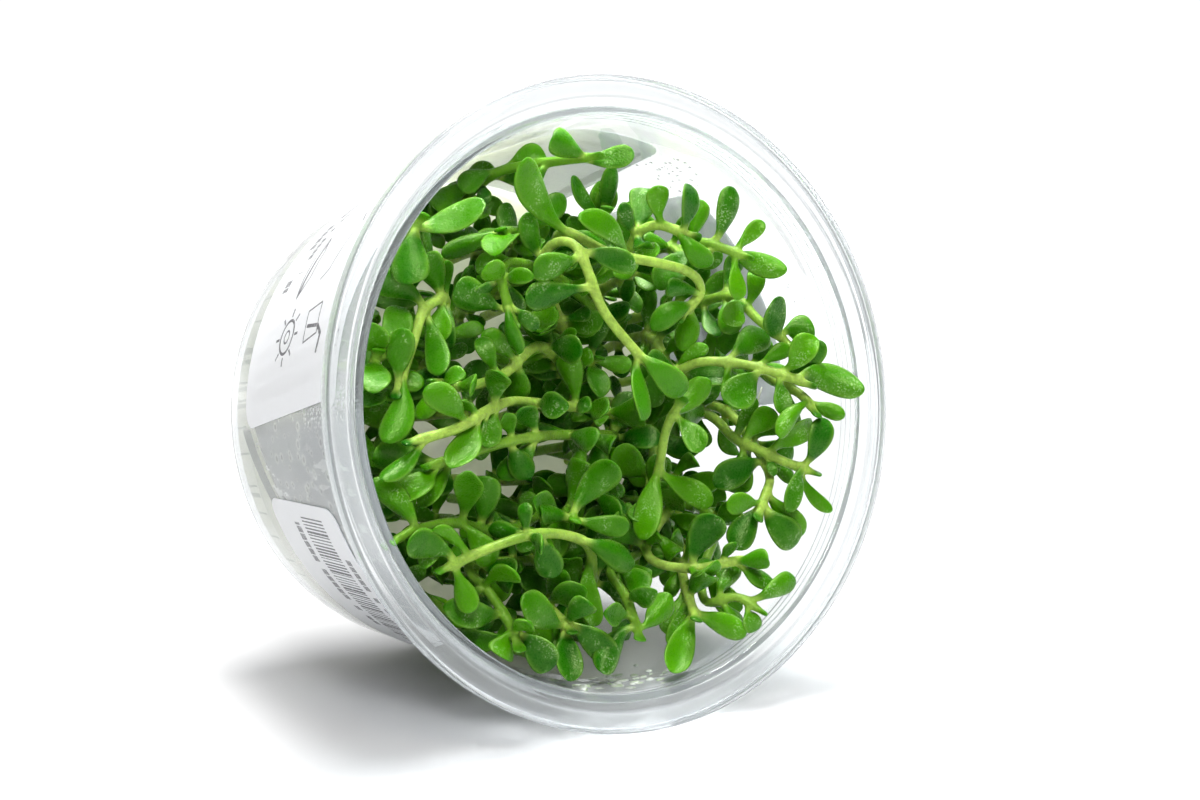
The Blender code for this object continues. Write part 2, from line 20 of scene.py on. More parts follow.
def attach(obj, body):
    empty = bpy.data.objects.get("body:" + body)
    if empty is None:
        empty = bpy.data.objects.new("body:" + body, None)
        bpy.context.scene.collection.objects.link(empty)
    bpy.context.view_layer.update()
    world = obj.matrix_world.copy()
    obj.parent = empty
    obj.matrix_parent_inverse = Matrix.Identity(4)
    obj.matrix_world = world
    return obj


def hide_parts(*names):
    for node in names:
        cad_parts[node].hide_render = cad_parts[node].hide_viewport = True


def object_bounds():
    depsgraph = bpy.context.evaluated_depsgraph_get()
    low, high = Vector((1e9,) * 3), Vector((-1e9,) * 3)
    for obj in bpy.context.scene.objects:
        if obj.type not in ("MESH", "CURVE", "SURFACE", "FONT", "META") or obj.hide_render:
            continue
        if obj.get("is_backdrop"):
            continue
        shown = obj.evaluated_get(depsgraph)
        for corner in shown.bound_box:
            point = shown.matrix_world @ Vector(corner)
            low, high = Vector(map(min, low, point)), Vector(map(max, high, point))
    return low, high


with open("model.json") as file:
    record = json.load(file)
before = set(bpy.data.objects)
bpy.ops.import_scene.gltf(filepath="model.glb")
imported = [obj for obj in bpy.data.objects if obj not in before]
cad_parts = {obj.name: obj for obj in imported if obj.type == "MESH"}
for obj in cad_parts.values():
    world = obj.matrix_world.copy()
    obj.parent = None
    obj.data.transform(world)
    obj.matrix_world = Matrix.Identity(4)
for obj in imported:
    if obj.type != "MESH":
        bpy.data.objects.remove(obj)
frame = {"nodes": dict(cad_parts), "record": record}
CAD_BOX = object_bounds()

bl_info = {
    "name": "Water Hyssop in a Tissue Culture Cup",
    "version": (1, 0, 0),
    "blender": (4, 5, 0),
    "location": "View3D > Sidebar > Hyssop",
    "description": "Clear cup, nutrient gel, stickers and water hyssop sprigs",
    "category": "Object",
}

MM = 0.001
TAU = 2 * math.pi

# The solid model's own dimensions, millimetres
RIM_RADIUS = 50.0
BASE_RADIUS = 38.9
HEIGHT = 61.5
WALL = 0.8
FLOOR_THICKNESS = 0.9
WALL_SLOPE = 0.0975
FACETS = 32
GAP = 0.3
GEL_TOP = 9.0

# Stickers: start and end round the wall at mid height (degrees), low and high edge along it
LABELS = {
    "label_care": (62.0, 175.5, 10.0, 50.0),
    "label_code": (194.6, 241.5, 14.0, 42.0),
    "label_side": (-5.6, 50.6, 11.0, 43.0),
}

# Sprigs, as the solids lay them out
ROOT_HEIGHT = GEL_TOP + GAP
STEM_ROOT_RADIUS = 0.85
STEM_TIP_RADIUS = 0.62
NODE_HALF = 0.75
NODE_SPACING = 2.3
PAIR_SPACING = 10.5
LEAF_THICKNESS = 0.7
LEAF_WIDEST = 0.62
LEAF_RISE = 0.22
LEAF_BEND = 0.3
LEAF_TURNED = 0.35
CLEARANCE = 0.12
STEM_CLEARANCE = 0.15
STEM_MARGIN = 1.2
TIP_MARGIN = 0.3
WALL_MARGIN = 0.45
RIM_MARGIN = 4.0
LEDGE_HEIGHT = 59.4
LOWEST_NODE = 3.0
ROUTE_STEPS = 16
FILLER_COUNT = 6
FILLER_REACH = 33.0
FILLER_HEIGHTS = (36, 44)
GOLDEN_TURN = math.radians(137.5)
SEED = 11

# Leaf pairs that are grown: their lengths, how far they lean along the stem, and their widths
# as shares of the length. The small ones are in the looks alone.
LOWER_PAIRS = ((7.0, 9.5), (0.25, 0.7), (0.58, 0.7))
SMALL_PAIRS = ((5.2, 8.6), (0.2, 0.9), (0.5, 0.64))
LOWER_PAIRS_DROP = 5.0
LOWER_PAIRS_END = 9.0
SMALL_PAIRS_START = 12.0
SMALL_PAIRS_SPACING = 4.6

# Highest small pair between the placed pairs: on a sprig with placed leaves, and on one without
SMALL_PAIRS_TOP = {True: 45.0, False: 53.0}

# Which way a leaf's upper face turns: out of the mouth, a little to the left
OUTWARD = Vector((-0.45, 0.0, 0.9))

# Each sprig: the stem's route from the gel, then its placed leaves as
# (share of the stem's length, leaf tip, leaf width)
SPRIGS = (
    # along the top of the cup
    (((-12, 24, 9.3), (-9, 36, 38), (-6, 38, 46), (-2, 38, 52), (1, 38, 56)),
     ((1.0, (8, 38, 58), 5), (0.97, (-5, 43, 57), 5), (0.86, (-8, 34, 49), 4.5),
      (0.74, (-1, 42, 47), 5.5), (0.68, (-15, 38, 42), 5), (0.62, (-19, 35, 44), 5.5))),
    # the bright stem that crosses the upper middle
    (((6, 16, 9.3), (4, 20, 35), (-3, 27, 52), (3, 23, 56), (10, 21, 58), (17, 19, 57),
      (20, 16, 55), (17, 13, 54)),
     ((0.6, (-16, 33, 57), 6), (1.0, (11, 11, 53), 5), (0.95, (12, 17, 55), 4.5),
      (0.72, (-4, 29, 59), 5))),
    # the arch over the middle, its end hanging down
    (((8, 8, 9.3), (6, 10, 34), (-5, 20, 49), (-6, 25, 53), (-4, 25, 57), (-3, 20, 59),
      (-1, 14, 59), (6, 6, 58)),
     ((1.0, (3, -3, 60), 5.5), (0.98, (11, -1, 58), 5), (0.81, (-14, 17, 58), 5))),
    (((12, 14, 9.3), (12, 14, 34), (3, 19, 43), (-4, 22, 46), (-13, 23, 52), (-16, 20, 55),
      (-15, 15, 55)),
     ((1.0, (-11, 14, 58), 3), (0.96, (-12, 10, 57), 4), (0.98, (-23, 20, 53), 7))),
    (((-18, 6, 9.3), (-20, 8, 34), (-21, 18, 46), (-27, 17, 50), (-30, 13, 52), (-34, 6, 53)),
     ((0.77, (-35, 22, 52), 5.5), (0.78, (-28, 7, 55), 5.5), (0.97, (-32, 14, 56), 5.5),
      (1.0, (-38, -2, 55), 5.5))),
    # three bright stems that lean left, one below another
    (((4, -2, 9.3), (6, 2, 34), (-5, 10, 46), (-16, 6, 52), (-24, 5, 54), (-28, 6, 54)),
     ((1.0, (-32, 1, 54), 4.5), (0.83, (-19, 12, 51), 4), (0.98, (-35, 9, 53), 5))),
    (((10, -4, 9.3), (12, -2, 36), (-7, 1, 48), (-15, 2, 52), (-21, 1, 55), (-27, -1, 57),
      (-34, -2, 57)),
     ((0.89, (-34, 4, 58), 5.5), (0.86, (-31, -6, 56), 5), (1.0, (-41, -7, 58), 4.5))),
    (((12, -8, 9.3), (14, -6, 34), (-6, -4, 48), (-15, -4, 51), (-24, -5, 54), (-31, -6, 55)),
     ((1.0, (-37, -11, 55), 5.5), (0.97, (-39, -4, 52), 6), (0.78, (-12, -10, 51), 5))),
    (((-4, -14, 9.3), (-2, -16, 34), (-15, -18, 46), (-27, -15, 53), (-35, -15, 56),
      (-39, -16, 57)),
     ((0.8, (-32, -6, 57), 6), (0.95, (-41, -7, 55), 5), (0.84, (-34, -21, 55), 4.5),
      (0.77, (-22, -22, 54), 5))),
    # the long stem across the lower left
    (((8, -12, 9.3), (10, -16, 36), (-1, -27, 48), (-5, -21, 54), (-15, -18, 58),
      (-24, -19, 58), (-31, -21, 57)),
     ((1.0, (-39, -18, 58), 6), (0.81, (-13, -25, 57), 5), (0.84, (-18, -13, 59), 3),
      (0.7, (2, -25, 56), 5), (0.63, (-4, -34, 52), 5))),
    (((16, -8, 9.3), (16, -12, 30), (-4, -16, 47), (-7, -17, 54)),
     ((1.0, (1, -19, 57), 5), (0.97, (-1, -9, 58), 6), (0.93, (-14, -13, 54), 5))),
    (((-2, -20, 9.3), (-2, -24, 34), (-22, -22, 47), (-22, -26, 52), (-21, -30, 55),
      (-21, -33, 57)),
     ((0.93, (-31, -27, 54), 5), (0.97, (-29, -32, 53), 5), (1.0, (-25, -38, 58), 6),
      (0.99, (-17, -39, 58), 6.5))),
    # the small sprigs at the bottom of the mouth
    (((8, -18, 9.3), (12, -24, 38), (0, -26, 49), (-1, -29, 54), (-1, -33, 57), (-1, -35, 59)),
     ((1.0, (6, -30, 59), 4.5), (0.97, (-8, -40, 59), 5))),
    (((4, -22, 9.3), (5, -28, 38), (-10, -29, 49), (-11, -33, 56)),
     ((1.0, (-13, -41, 58), 6), (0.95, (-20, -27, 58), 6), (0.98, (-4, -39, 57), 5))),
    (((16, -18, 9.3), (22, -24, 38), (15, -28, 49), (12, -32, 55), (10, -34, 59)),
     ((0.96, (4, -42, 60), 6.5), (1.0, (18, -38, 61), 5))),
    (((20, -16, 9.3), (27, -20, 40), (18, -29, 50), (15, -33, 55), (18, -32, 59),
      (20, -34, 61)),
     ((1.0, (29, -33, 61), 5), (0.97, (21, -40, 60), 4))),
    (((18, -12, 9.3), (22, -16, 36), (8, -26, 47), (11, -29, 54), (17, -28, 58),
      (20, -27, 59)),
     ((1.0, (25, -31, 60), 4), (0.95, (19, -24, 60), 3))),
    # right of the middle
    (((20, -2, 9.3), (22, -6, 32), (14, -16, 43), (12, -11, 50), (12, -5, 53), (13, -2, 55)),
     ((1.0, (15, -9, 58), 4.5), (0.98, (20, 2, 55), 5), (0.78, (7, -22, 51), 6),
      (0.81, (20, -18, 52), 5))),
    (((24, 0, 9.3), (28, -3, 38), (27, -8, 50), (28, -10, 55), (30, -12, 58), (33, -14, 61)),
     ((1.0, (36, -6, 63), 5.5), (0.99, (36, -21, 62), 3), (0.96, (28, -20, 61), 4.5),
      (0.88, (36, -6, 59), 5))),
    (((26, -2, 9.3), (31, -1, 38), (30, -8, 51), (29, -13, 56), (27, -16, 57), (25, -19, 58)),
     ((0.97, (30, -26, 59), 6.5), (1.0, (20, -25, 57), 5.5), (0.83, (20, -11, 53), 6))),
    # the long sprig that reaches the right edge of the mouth
    (((22, 6, 9.3), (22, 10, 34), (19, 4, 46), (21, 5, 51), (26, 4, 55), (30, 2, 59),
      (33, 0, 62)),
     ((1.0, (42, -2, 66), 5.5), (0.94, (37, 4, 64), 5), (0.88, (21, -2, 57), 6.5))),
    (((28, 2, 9.3), (33, 4, 42), (33, 0, 56), (34, -2, 60), (34, -4, 62)),
     ((0.97, (39, -6, 64), 3.5), (1.0, (27, -8, 62), 3.5))),
    (((22, 12, 9.3), (27, 14, 38), (29, 15, 50), (30, 11, 55), (33, 7, 58)),
     ((1.0, (37, 8, 61), 6), (0.98, (33, 14, 62), 6), (0.84, (24, 11, 54), 5),
      (0.8, (32, 19, 54), 4))),
    # the small sprigs at the upper right
    (((16, 14, 9.3), (18, 20, 36), (12, 22, 46), (11, 26, 52), (13, 27, 55), (17, 25, 57)),
     ((1.0, (17, 33, 58), 5), (0.92, (12, 33, 57), 5), (0.84, (8, 31, 53), 3.5),
      (0.97, (19, 19, 58), 4))),
    (((20, 18, 9.3), (24, 24, 38), (22, 22, 48), (20, 24, 54), (22, 23, 57), (25, 21, 60)),
     ((0.88, (25, 32, 59), 4.5), (1.0, (29, 26, 61), 3.5), (0.98, (32, 18, 62), 5.5),
      (0.95, (23, 14, 60), 4), (0.91, (17, 19, 59), 3.5))),
    # the large leaves at the upper left
    (((-26, 16, 9.3), (-32, 19, 36), (-29, 27, 48), (-28, 30, 53)),
     ((1.0, (-18, 32, 56), 6), (0.97, (-35, 23, 53), 7), (0.98, (-18, 27, 51), 5))),
    (((-10, 14, 9.3), (-8, 18, 34), (-6, 27, 44), (-12, 28, 50)),
     ((1.0, (-16, 21, 53), 6.5), (0.97, (-22, 25, 48), 4), (0.89, (2, 31, 48), 5.5))),
    (((6, 22, 9.3), (13, 27, 34), (9, 28, 44), (8, 30, 48)),
     ((0.97, (3, 36, 47), 4), (1.0, (9, 37, 50), 4))),
    # the left edge
    (((-30, 4, 9.3), (-35, 3, 38), (-36, 11, 51)),
     ((1.0, (-28, 16, 53), 6.5), (0.97, (-42, 5, 55), 6), (0.95, (-36, 20, 54), 6))),
    (((-28, -10, 9.3), (-33, -10, 36), (-32, -6, 47)),
     ((1.0, (-40, 0, 51), 6.5), (0.97, (-25, -10, 50), 5), (0.92, (-38, -13, 50), 6))),
)

# Sprigs that are in the looks alone; they fill the shade behind the placed ones
SHADE_ROUTES = (
    ((-24, -20, ROOT_HEIGHT), (-28, -23, 30), (-28, -29, 52)),
    ((-14, -28, ROOT_HEIGHT), (-16, -33, 30), (-14, -37, 53)),
    ((-31, -4, ROOT_HEIGHT), (-36, -5, 30), (-39, -9, 52)),
    ((-33, -14, ROOT_HEIGHT), (-35, -18, 28), (-35, -21, 51)),
    ((-4, -32, ROOT_HEIGHT), (-2, -35, 30), (-2, -37, 50)),
    ((-31, 8, ROOT_HEIGHT), (-37, 8, 30), (-39, 9, 50)),
    ((-27, 22, ROOT_HEIGHT), (-29, 26, 30), (-29, 29, 50)),
)
SHADE_COUNT = 12
SHADE_REACH = 32.0

# Condensation on the inner wall: middle of a patch (degrees round the axis, height), its spread
# (degrees, height), how many drops and the largest drop's radius
DEW_PATCHES = (
    ((110, 52), (12, 4), 90, 0.34),
    ((57, 46), (7, 5), 60, 0.30),
    ((186, 40), (9, 12), 60, 0.50),
    ((198, 48), (14, 5), 40, 0.40),
    ((250, 50), (20, 6), 40, 0.45),
    ((20, 50), (14, 6), 20, 0.26),
)

# Thin pale roots that hang between the sprigs
ROOT_THREADS = (
    ((40.6, -0.5, 40), (39.6, -4, 39), (38.6, -7, 38), (39.4, -10, 39), (38.6, -13, 37)),
    ((17, 30, 34), (18, 27, 34.5), (19.4, 23, 36), (18.6, 19, 36), (19.5, 14, 35)),
)

# Roots that show at the side of the gel under the care sticker, in degrees round the axis
ROOTS_AT_SIDE = (159.5, 162.0, 168.5, 172.5, 194.0)

# Crumbs of gel that lie on the lowest part of the wall, near the mouth
CRUMB_MIDDLE = (-91, 51)
CRUMB_SPREAD = (8, 3.6)
CRUMB_TOP = 58.3
DEW_TOP = 58.6


class CupSettings(bpy.types.PropertyGroup):
    rim_radius: FloatProperty(
        name="Rim Radius", description="From the axis to the outer edge of the flange",
        default=RIM_RADIUS * MM, unit="LENGTH")
    base_radius: FloatProperty(
        name="Base Radius", description="Outer radius of the wall, carried down to the base",
        default=BASE_RADIUS * MM, unit="LENGTH")
    height: FloatProperty(
        name="Height", description="From the base to the top of the flange",
        default=HEIGHT * MM, unit="LENGTH")
    wall: FloatProperty(
        name="Wall", description="Thickness of the wall", default=WALL * MM, unit="LENGTH")
    corner: FloatProperty(
        name="Base Corner", description="Radius of the rounded edge of the base",
        default=2.0 * MM, unit="LENGTH")
    ribs: IntProperty(
        name="Collar Ribs", description="Fine ribs round the collar under the flange",
        default=4, min=0, max=8)
    steps: IntProperty(
        name="Steps", description="Steps of the turned shape", default=192, min=32)
    tint: FloatVectorProperty(
        name="Tint", description="What the plastic lets through", subtype="COLOR",
        default=(0.965, 0.975, 0.98))
    milk: FloatVectorProperty(
        name="Milk", description="Faint milkiness of the plastic", subtype="COLOR",
        default=(0.78, 0.80, 0.81))
    # Fog colour: a grey deeper than the whitish fog itself, partly painted shade for the shade the
    # misted wall lies in
    mist_and_painted_shade: FloatVectorProperty(
        name="Mist", description="Colour of the fogged inner wall", subtype="COLOR",
        default=(0.44, 0.46, 0.475))


class GelSettings(bpy.types.PropertyGroup):
    top: FloatProperty(
        name="Top", description="Height of the gel's surface above the cup's base",
        default=GEL_TOP * MM, unit="LENGTH")
    meniscus: FloatProperty(
        name="Meniscus", description="How far the gel climbs the wall",
        default=0.6 * MM, unit="LENGTH")
    milk: FloatVectorProperty(
        name="Milk", description="Colour of the cloudy gel", subtype="COLOR",
        default=(0.88, 0.90, 0.80))
    clear: FloatVectorProperty(
        name="Clear", description="Colour where the gel is clearer", subtype="COLOR",
        default=(0.74, 0.80, 0.66))


class LabelSettings(bpy.types.PropertyGroup):
    thickness: FloatProperty(
        name="Thickness", description="Thickness of a sticker",
        default=0.12 * MM, unit="LENGTH")
    corner: FloatProperty(
        name="Corner", description="Radius of a sticker's corners",
        default=3.0 * MM, unit="LENGTH")
    paper: FloatVectorProperty(
        name="Paper", description="Colour of the bare sticker", subtype="COLOR",
        default=(0.955, 0.965, 0.98))
    ink: FloatVectorProperty(
        name="Ink", description="Colour of the printed marks", subtype="COLOR",
        default=(0.10, 0.10, 0.11))


class SprigSettings(bpy.types.PropertyGroup):
    root_radius: FloatProperty(
        name="Root Radius", description="Radius of a stem where it leaves the gel",
        default=0.88 * MM, unit="LENGTH")
    tip_radius: FloatProperty(
        name="Tip Radius", description="Radius of a stem near its tip",
        default=0.76 * MM, unit="LENGTH")
    middle_thickness: FloatProperty(
        name="Leaf Middle", description="Thickness of a leaf along its middle",
        default=1.3 * MM, unit="LENGTH")
    edge_thickness: FloatProperty(
        name="Leaf Edge", description="Thickness of a leaf near its edge",
        default=0.42 * MM, unit="LENGTH")
    light_leaf: FloatVectorProperty(
        name="Light Leaf", description="Colour of the brightest leaves", subtype="COLOR",
        default=(0.105, 0.37, 0.001))
    dark_leaf: FloatVectorProperty(
        name="Dark Leaf", description="Colour of the darkest leaves", subtype="COLOR",
        default=(0.006, 0.100, 0.0))
    underside: FloatVectorProperty(
        name="Underside", description="Colour of a leaf's underside", subtype="COLOR",
        default=(0.045, 0.23, 0.002))
    stem: FloatVectorProperty(
        name="Stem", description="Colour of the stems", subtype="COLOR",
        default=(0.42, 0.62, 0.10))


class MoistureSettings(bpy.types.PropertyGroup):
    dew_share: FloatProperty(
        name="Dew", description="Share of the drops that are made", subtype="FACTOR",
        default=1.0, min=0.0, max=1.0)
    crumbs: IntProperty(
        name="Gel Crumbs", description="How many crumbs lie in the cup", default=46, min=0)
    thread_radius: FloatProperty(
        name="Root Threads", description="Radius of the thin roots",
        default=0.16 * MM, unit="LENGTH")


class StageSettings(bpy.types.PropertyGroup):
    floor_size: FloatProperty(
        name="Floor", description="Side of the floor", default=8.0, unit="LENGTH")
    floor_drop: FloatProperty(
        name="Floor Drop", description="Depth of the floor under the model",
        default=0.3 * MM, unit="LENGTH")
    focal_length: FloatProperty(
        name="Focal Length", description="Of the camera's lens, in millimetres", default=72.0)
    turn: FloatProperty(
        name="Camera Turn", description="How far the camera stands to the left",
        default=math.radians(32.417), subtype="ANGLE")
    tilt: FloatProperty(
        name="Camera Tilt", description="How far the camera looks down",
        default=math.radians(10.255), subtype="ANGLE")
    distance: FloatProperty(
        name="Camera Distance", description="From the camera to the cup's mouth",
        default=363.6 * MM, unit="LENGTH")
    world: FloatProperty(
        name="World", description="Strength of the light from behind the cup", default=1.06)
    room: FloatProperty(
        name="Room", description="Strength of the light from behind the camera", default=0.12)


class HyssopSettings(bpy.types.PropertyGroup):
    cup: PointerProperty(type=CupSettings)
    gel: PointerProperty(type=GelSettings)
    label: PointerProperty(type=LabelSettings)
    sprig: PointerProperty(type=SprigSettings)
    moisture: PointerProperty(type=MoistureSettings)
    stage: PointerProperty(type=StageSettings)


def mm(length):
    """A setting's length in millimetres."""
    return length / MM


# Placing


def lying_pose():
    """From the standing cup's millimetres to the model's metres, by the base's mount."""
    base = next(m for m in frame["record"]["mounts"] if m["name"] == "base")
    up = -Vector(base["axis"]).normalized()
    right = Vector((1, 0, 0))
    turn = Matrix((right, up.cross(right), up)).transposed().to_4x4()
    place = Vector((0, base["pos_m"][1], base["pos_m"][2]))
    return Matrix.Translation(place) @ turn @ Matrix.Scale(MM, 4)


POSE = lying_pose()


def finish_piece(bm, name, material, stands_for=(), sharp_angle=40):
    """Lay a piece down, give it its finish and hand it to the frame."""
    bmesh.ops.recalc_face_normals(bm, faces=bm.faces)
    bmesh.ops.transform(bm, matrix=POSE, verts=bm.verts)
    mesh = bpy.data.meshes.new(name)
    bm.to_mesh(mesh)
    bm.free()
    mesh.shade_smooth()
    mesh.set_sharp_from_angle(angle=math.radians(sharp_angle))
    mesh.materials.append(material)
    piece = bpy.data.objects.new(name, mesh)
    bpy.context.collection.objects.link(piece)
    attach(piece, "root")
    if stands_for:
        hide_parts(*stands_for)
    return piece


def smooth_piece(piece):
    """One round of subdivision, in the view as in the render."""
    modifier = piece.modifiers.new("smooth", "SUBSURF")
    modifier.levels = modifier.render_levels = 1


# Shader maths


class Wire:
    """A shader socket that takes part in sums, products and comparisons."""

    def __init__(self, paint, socket):
        self.paint = paint
        self.socket = socket

    def output(self, name):
        """Another output of the same node."""
        return Wire(self.paint, self.socket.node.outputs[name])

    def __add__(self, other):
        return self.paint.maths("ADD", self, other)

    def __sub__(self, other):
        return self.paint.maths("SUBTRACT", self, other)

    def __rsub__(self, other):
        return self.paint.maths("SUBTRACT", other, self)

    def __mul__(self, other):
        return self.paint.maths("MULTIPLY", self, other)

    def __truediv__(self, other):
        return self.paint.maths("DIVIDE", self, other)

    def __pow__(self, other):
        return self.paint.maths("POWER", self, other)

    def __gt__(self, other):
        return self.paint.maths("GREATER_THAN", self, other)

    def __lt__(self, other):
        return self.paint.maths("LESS_THAN", self, other)

    def __abs__(self):
        return self.paint.maths("ABSOLUTE", self)

    __radd__ = __add__
    __rmul__ = __mul__


class Paint:
    """The node tree of one finish."""

    def __init__(self, name):
        self.material = bpy.data.materials.new(name)
        self.material.use_nodes = True
        self.tree = self.material.node_tree
        self.tree.nodes.clear()
        self.end = self.tree.nodes.new("ShaderNodeOutputMaterial")

    def add(self, kind, settings=None, sockets=None, output=0):
        """A node with its settings and then its sockets' values or links, as its output."""
        node = self.tree.nodes.new(kind)
        for name, value in (settings or {}).items():
            setattr(node, name, value)
        for name, value in (sockets or {}).items():
            if isinstance(value, Wire):
                self.tree.links.new(value.socket, node.inputs[name])
            elif isinstance(value, tuple) and node.inputs[name].type == "RGBA":
                node.inputs[name].default_value = (*value[:3], 1.0)
            else:
                node.inputs[name].default_value = value
        return Wire(self, node.outputs[output])

    def maths(self, operation, *values):
        return self.add("ShaderNodeMath", {"operation": operation}, dict(enumerate(values)))

    def vector(self, operation, *values, output=0):
        return self.add("ShaderNodeVectorMath", {"operation": operation},
                        dict(enumerate(values)), output)

    def mix(self, factor, first, second):
        """Two colours mixed by a factor."""
        settings = {"data_type": "RGBA", "blend_type": "MIX", "clamp_factor": True}
        return self.add("ShaderNodeMix", settings, {0: factor, 6: first, 7: second}, 2)

    def ramp(self, value, low, high):
        """0 below low, 1 above high and smooth between them; high may be the lower one."""
        return self.add("ShaderNodeMapRange", {"interpolation_type": "SMOOTHSTEP"},
                        {"Value": value, "From Min": low, "From Max": high})

    def band(self, value, low, high, soft):
        """1 between low and high, with soft edges."""
        return self.ramp(value, low - soft, low + soft) * self.ramp(value, high + soft, high - soft)

    def object_place(self):
        return self.add("ShaderNodeTexCoord").output("Object")

    def noise(self, place, scale, detail=2.0, roughness=0.5):
        return self.add("ShaderNodeTexNoise", {},
                        {"Vector": place, "Scale": scale, "Detail": detail,
                         "Roughness": roughness})

    def bump(self, height, distance, strength=1.0, normal=None):
        sockets = {"Height": height, "Distance": distance, "Strength": strength}
        if normal:
            sockets["Normal"] = normal
        return self.add("ShaderNodeBump", {}, sockets)

    def principled(self, **values):
        """A Principled shader; a socket's name is given with _ for each space."""
        sockets = {name.replace("_", " "): value for name, value in values.items()}
        return self.add("ShaderNodeBsdfPrincipled", {}, sockets)

    def blend(self, factor, first, second):
        """Two shaders mixed by a factor."""
        return self.add("ShaderNodeMixShader", {}, {0: factor, 1: first, 2: second})

    def lets_lamps_through(self, shader, tint):
        """A see-through finish whose shadows stay as light as the thing itself."""
        shadow = self.add("ShaderNodeLightPath").output("Is Shadow Ray")
        clear = self.add("ShaderNodeBsdfTransparent", {}, {"Color": tint})
        return self.blend(shadow, shader, clear)

    def finish(self, shader, volume=None):
        self.tree.links.new(shader.socket, self.end.inputs["Surface"])
        if volume:
            self.tree.links.new(volume.socket, self.end.inputs["Volume"])
        return self.material


# Turned shapes


def outer_wall(height):
    return BASE_RADIUS + WALL_SLOPE * height


def inner_wall(height):
    return outer_wall(height) - WALL


def on_wall(radius, degrees, height):
    turn = math.radians(degrees)
    return Vector((radius * math.cos(turn), radius * math.sin(turn), height))


def arc(middle, radius, start, end, steps):
    """Points of (radius, height) on an arc, its angles in degrees."""
    points = []
    for k in range(steps + 1):
        turn = math.radians(start + (end - start) * k / steps)
        points.append((middle[0] + radius * math.cos(turn), middle[1] + radius * math.sin(turn)))
    return points


def turned(profile, steps, start=0.0, span=TAU):
    """Spin a profile of (radius, height) points round the cup's axis."""
    bm = bmesh.new()
    corners = [bm.verts.new((r * math.cos(start), r * math.sin(start), z)) for r, z in profile]
    full = span == TAU
    if full:
        geom = corners + [bm.edges.new(pair) for pair in zip(corners, corners[1:])]
    else:
        geom = [bm.faces.new(corners)]
    bmesh.ops.spin(bm, geom=geom, cent=(0, 0, 0), axis=(0, 0, 1), angle=span, steps=steps,
                   use_merge=full)
    bmesh.ops.remove_doubles(bm, verts=bm.verts, dist=0.001)
    return bm


def wrap_uv(bm, low, high, start=0.0, span=TAU):
    """UVs of a turned shape: u runs round the axis and v up it, both from 0 to 1."""
    layer = bm.loops.layers.uv.new("wrap")
    for face in bm.faces:
        middle = face.calc_center_median()
        about = math.atan2(middle.y, middle.x)
        base = (about - start + 0.01) % TAU - 0.01
        for loop in face.loops:
            x, y, z = loop.vert.co
            turn = math.atan2(y, x) - about if math.hypot(x, y) > 0.001 else 0.0
            turn = (turn + math.pi) % TAU - math.pi
            loop[layer].uv = ((base + turn) / span, (z - low) / (high - low))


# Cup

# Outline of the collar and the flange, millimetres. The collar's foot: the height whose wall it
# starts from, how far out of that wall it stands, and its own height. A rib: up from its middle,
# and out. The lip under the flange and the flange's face: in from the rim, and down from the top.
COLLAR_FOOT = ((54.9, 0.06, 54.9), (55.3, 0.4, 55.25), (55.8, 0.5, 55.7))
FIRST_RIB = 56.4
RIBS_HEIGHT = 3.2
RIB = ((-0.3, 0.0), (-0.1, 0.06), (0.1, 0.06), (0.3, 0.0))
COLLAR_OUT = 0.5
COLLAR_HEAD = ((0.55, 1.5), (0.9, 1.35))
LIP_UNDER = ((1.7, 1.3), (1.0, 1.35), (0.72, 1.6))
FLANGE_FACE = ((0.7, 0.0), (1.5, 0.0), (2.7, 0.05), (3.0, 0.14), (3.25, 0.42), (3.6, 0.48),
               (3.95, 0.4), (4.4, 0.4), (4.6, 0.46))

# Lines painted along the rim's outer bead, the skirt under it, the crease in the flange and the
# base's rounded edge, as painted shade for the grey these edges show in clear plastic: how deep,
# then their least and most distance in from the rim and their least and most height
PAINTED_EDGE_LINES = (
    (0.9, -1.0, 0.4, 61.0, 99.0),
    (0.5, -1.0, 0.7, -1.0, 59.0),
    (0.55, 3.1, 3.8, 60.9, 99.0),
    (0.4, -1.0, 13.5, -1.0, 1.4),
)

# Marks on the inner wall: degrees round the axis, millimetres up the wall, and millimetres above
# the slanting line that the water has settled to
MIST_TURNS = (176.0, 282.0)
MIST_START = (4.6, 6.4)
DROP_TURNS = (174.0, 196.0)
DROP_HEIGHTS = (20.0, 52.0)
SPECK_TURNS = (171.0, 179.0)
SPECK_HEIGHTS = (36.0, 56.0)
SMEAR_TURNS = (181.0, 240.0)
SMEAR_HEIGHTS = (37.0, 52.0)
SMEAR_START = (2.6, 8.0)
# The crescent is a band painted near-black along the gel's edge as seen through the wall: painted
# shade, standing in for the gel's surface seen edge-on
CRESCENT_TURNS = (178.4, 214.0)
CRESCENT_WIDTH = (-1.9, 1.9)


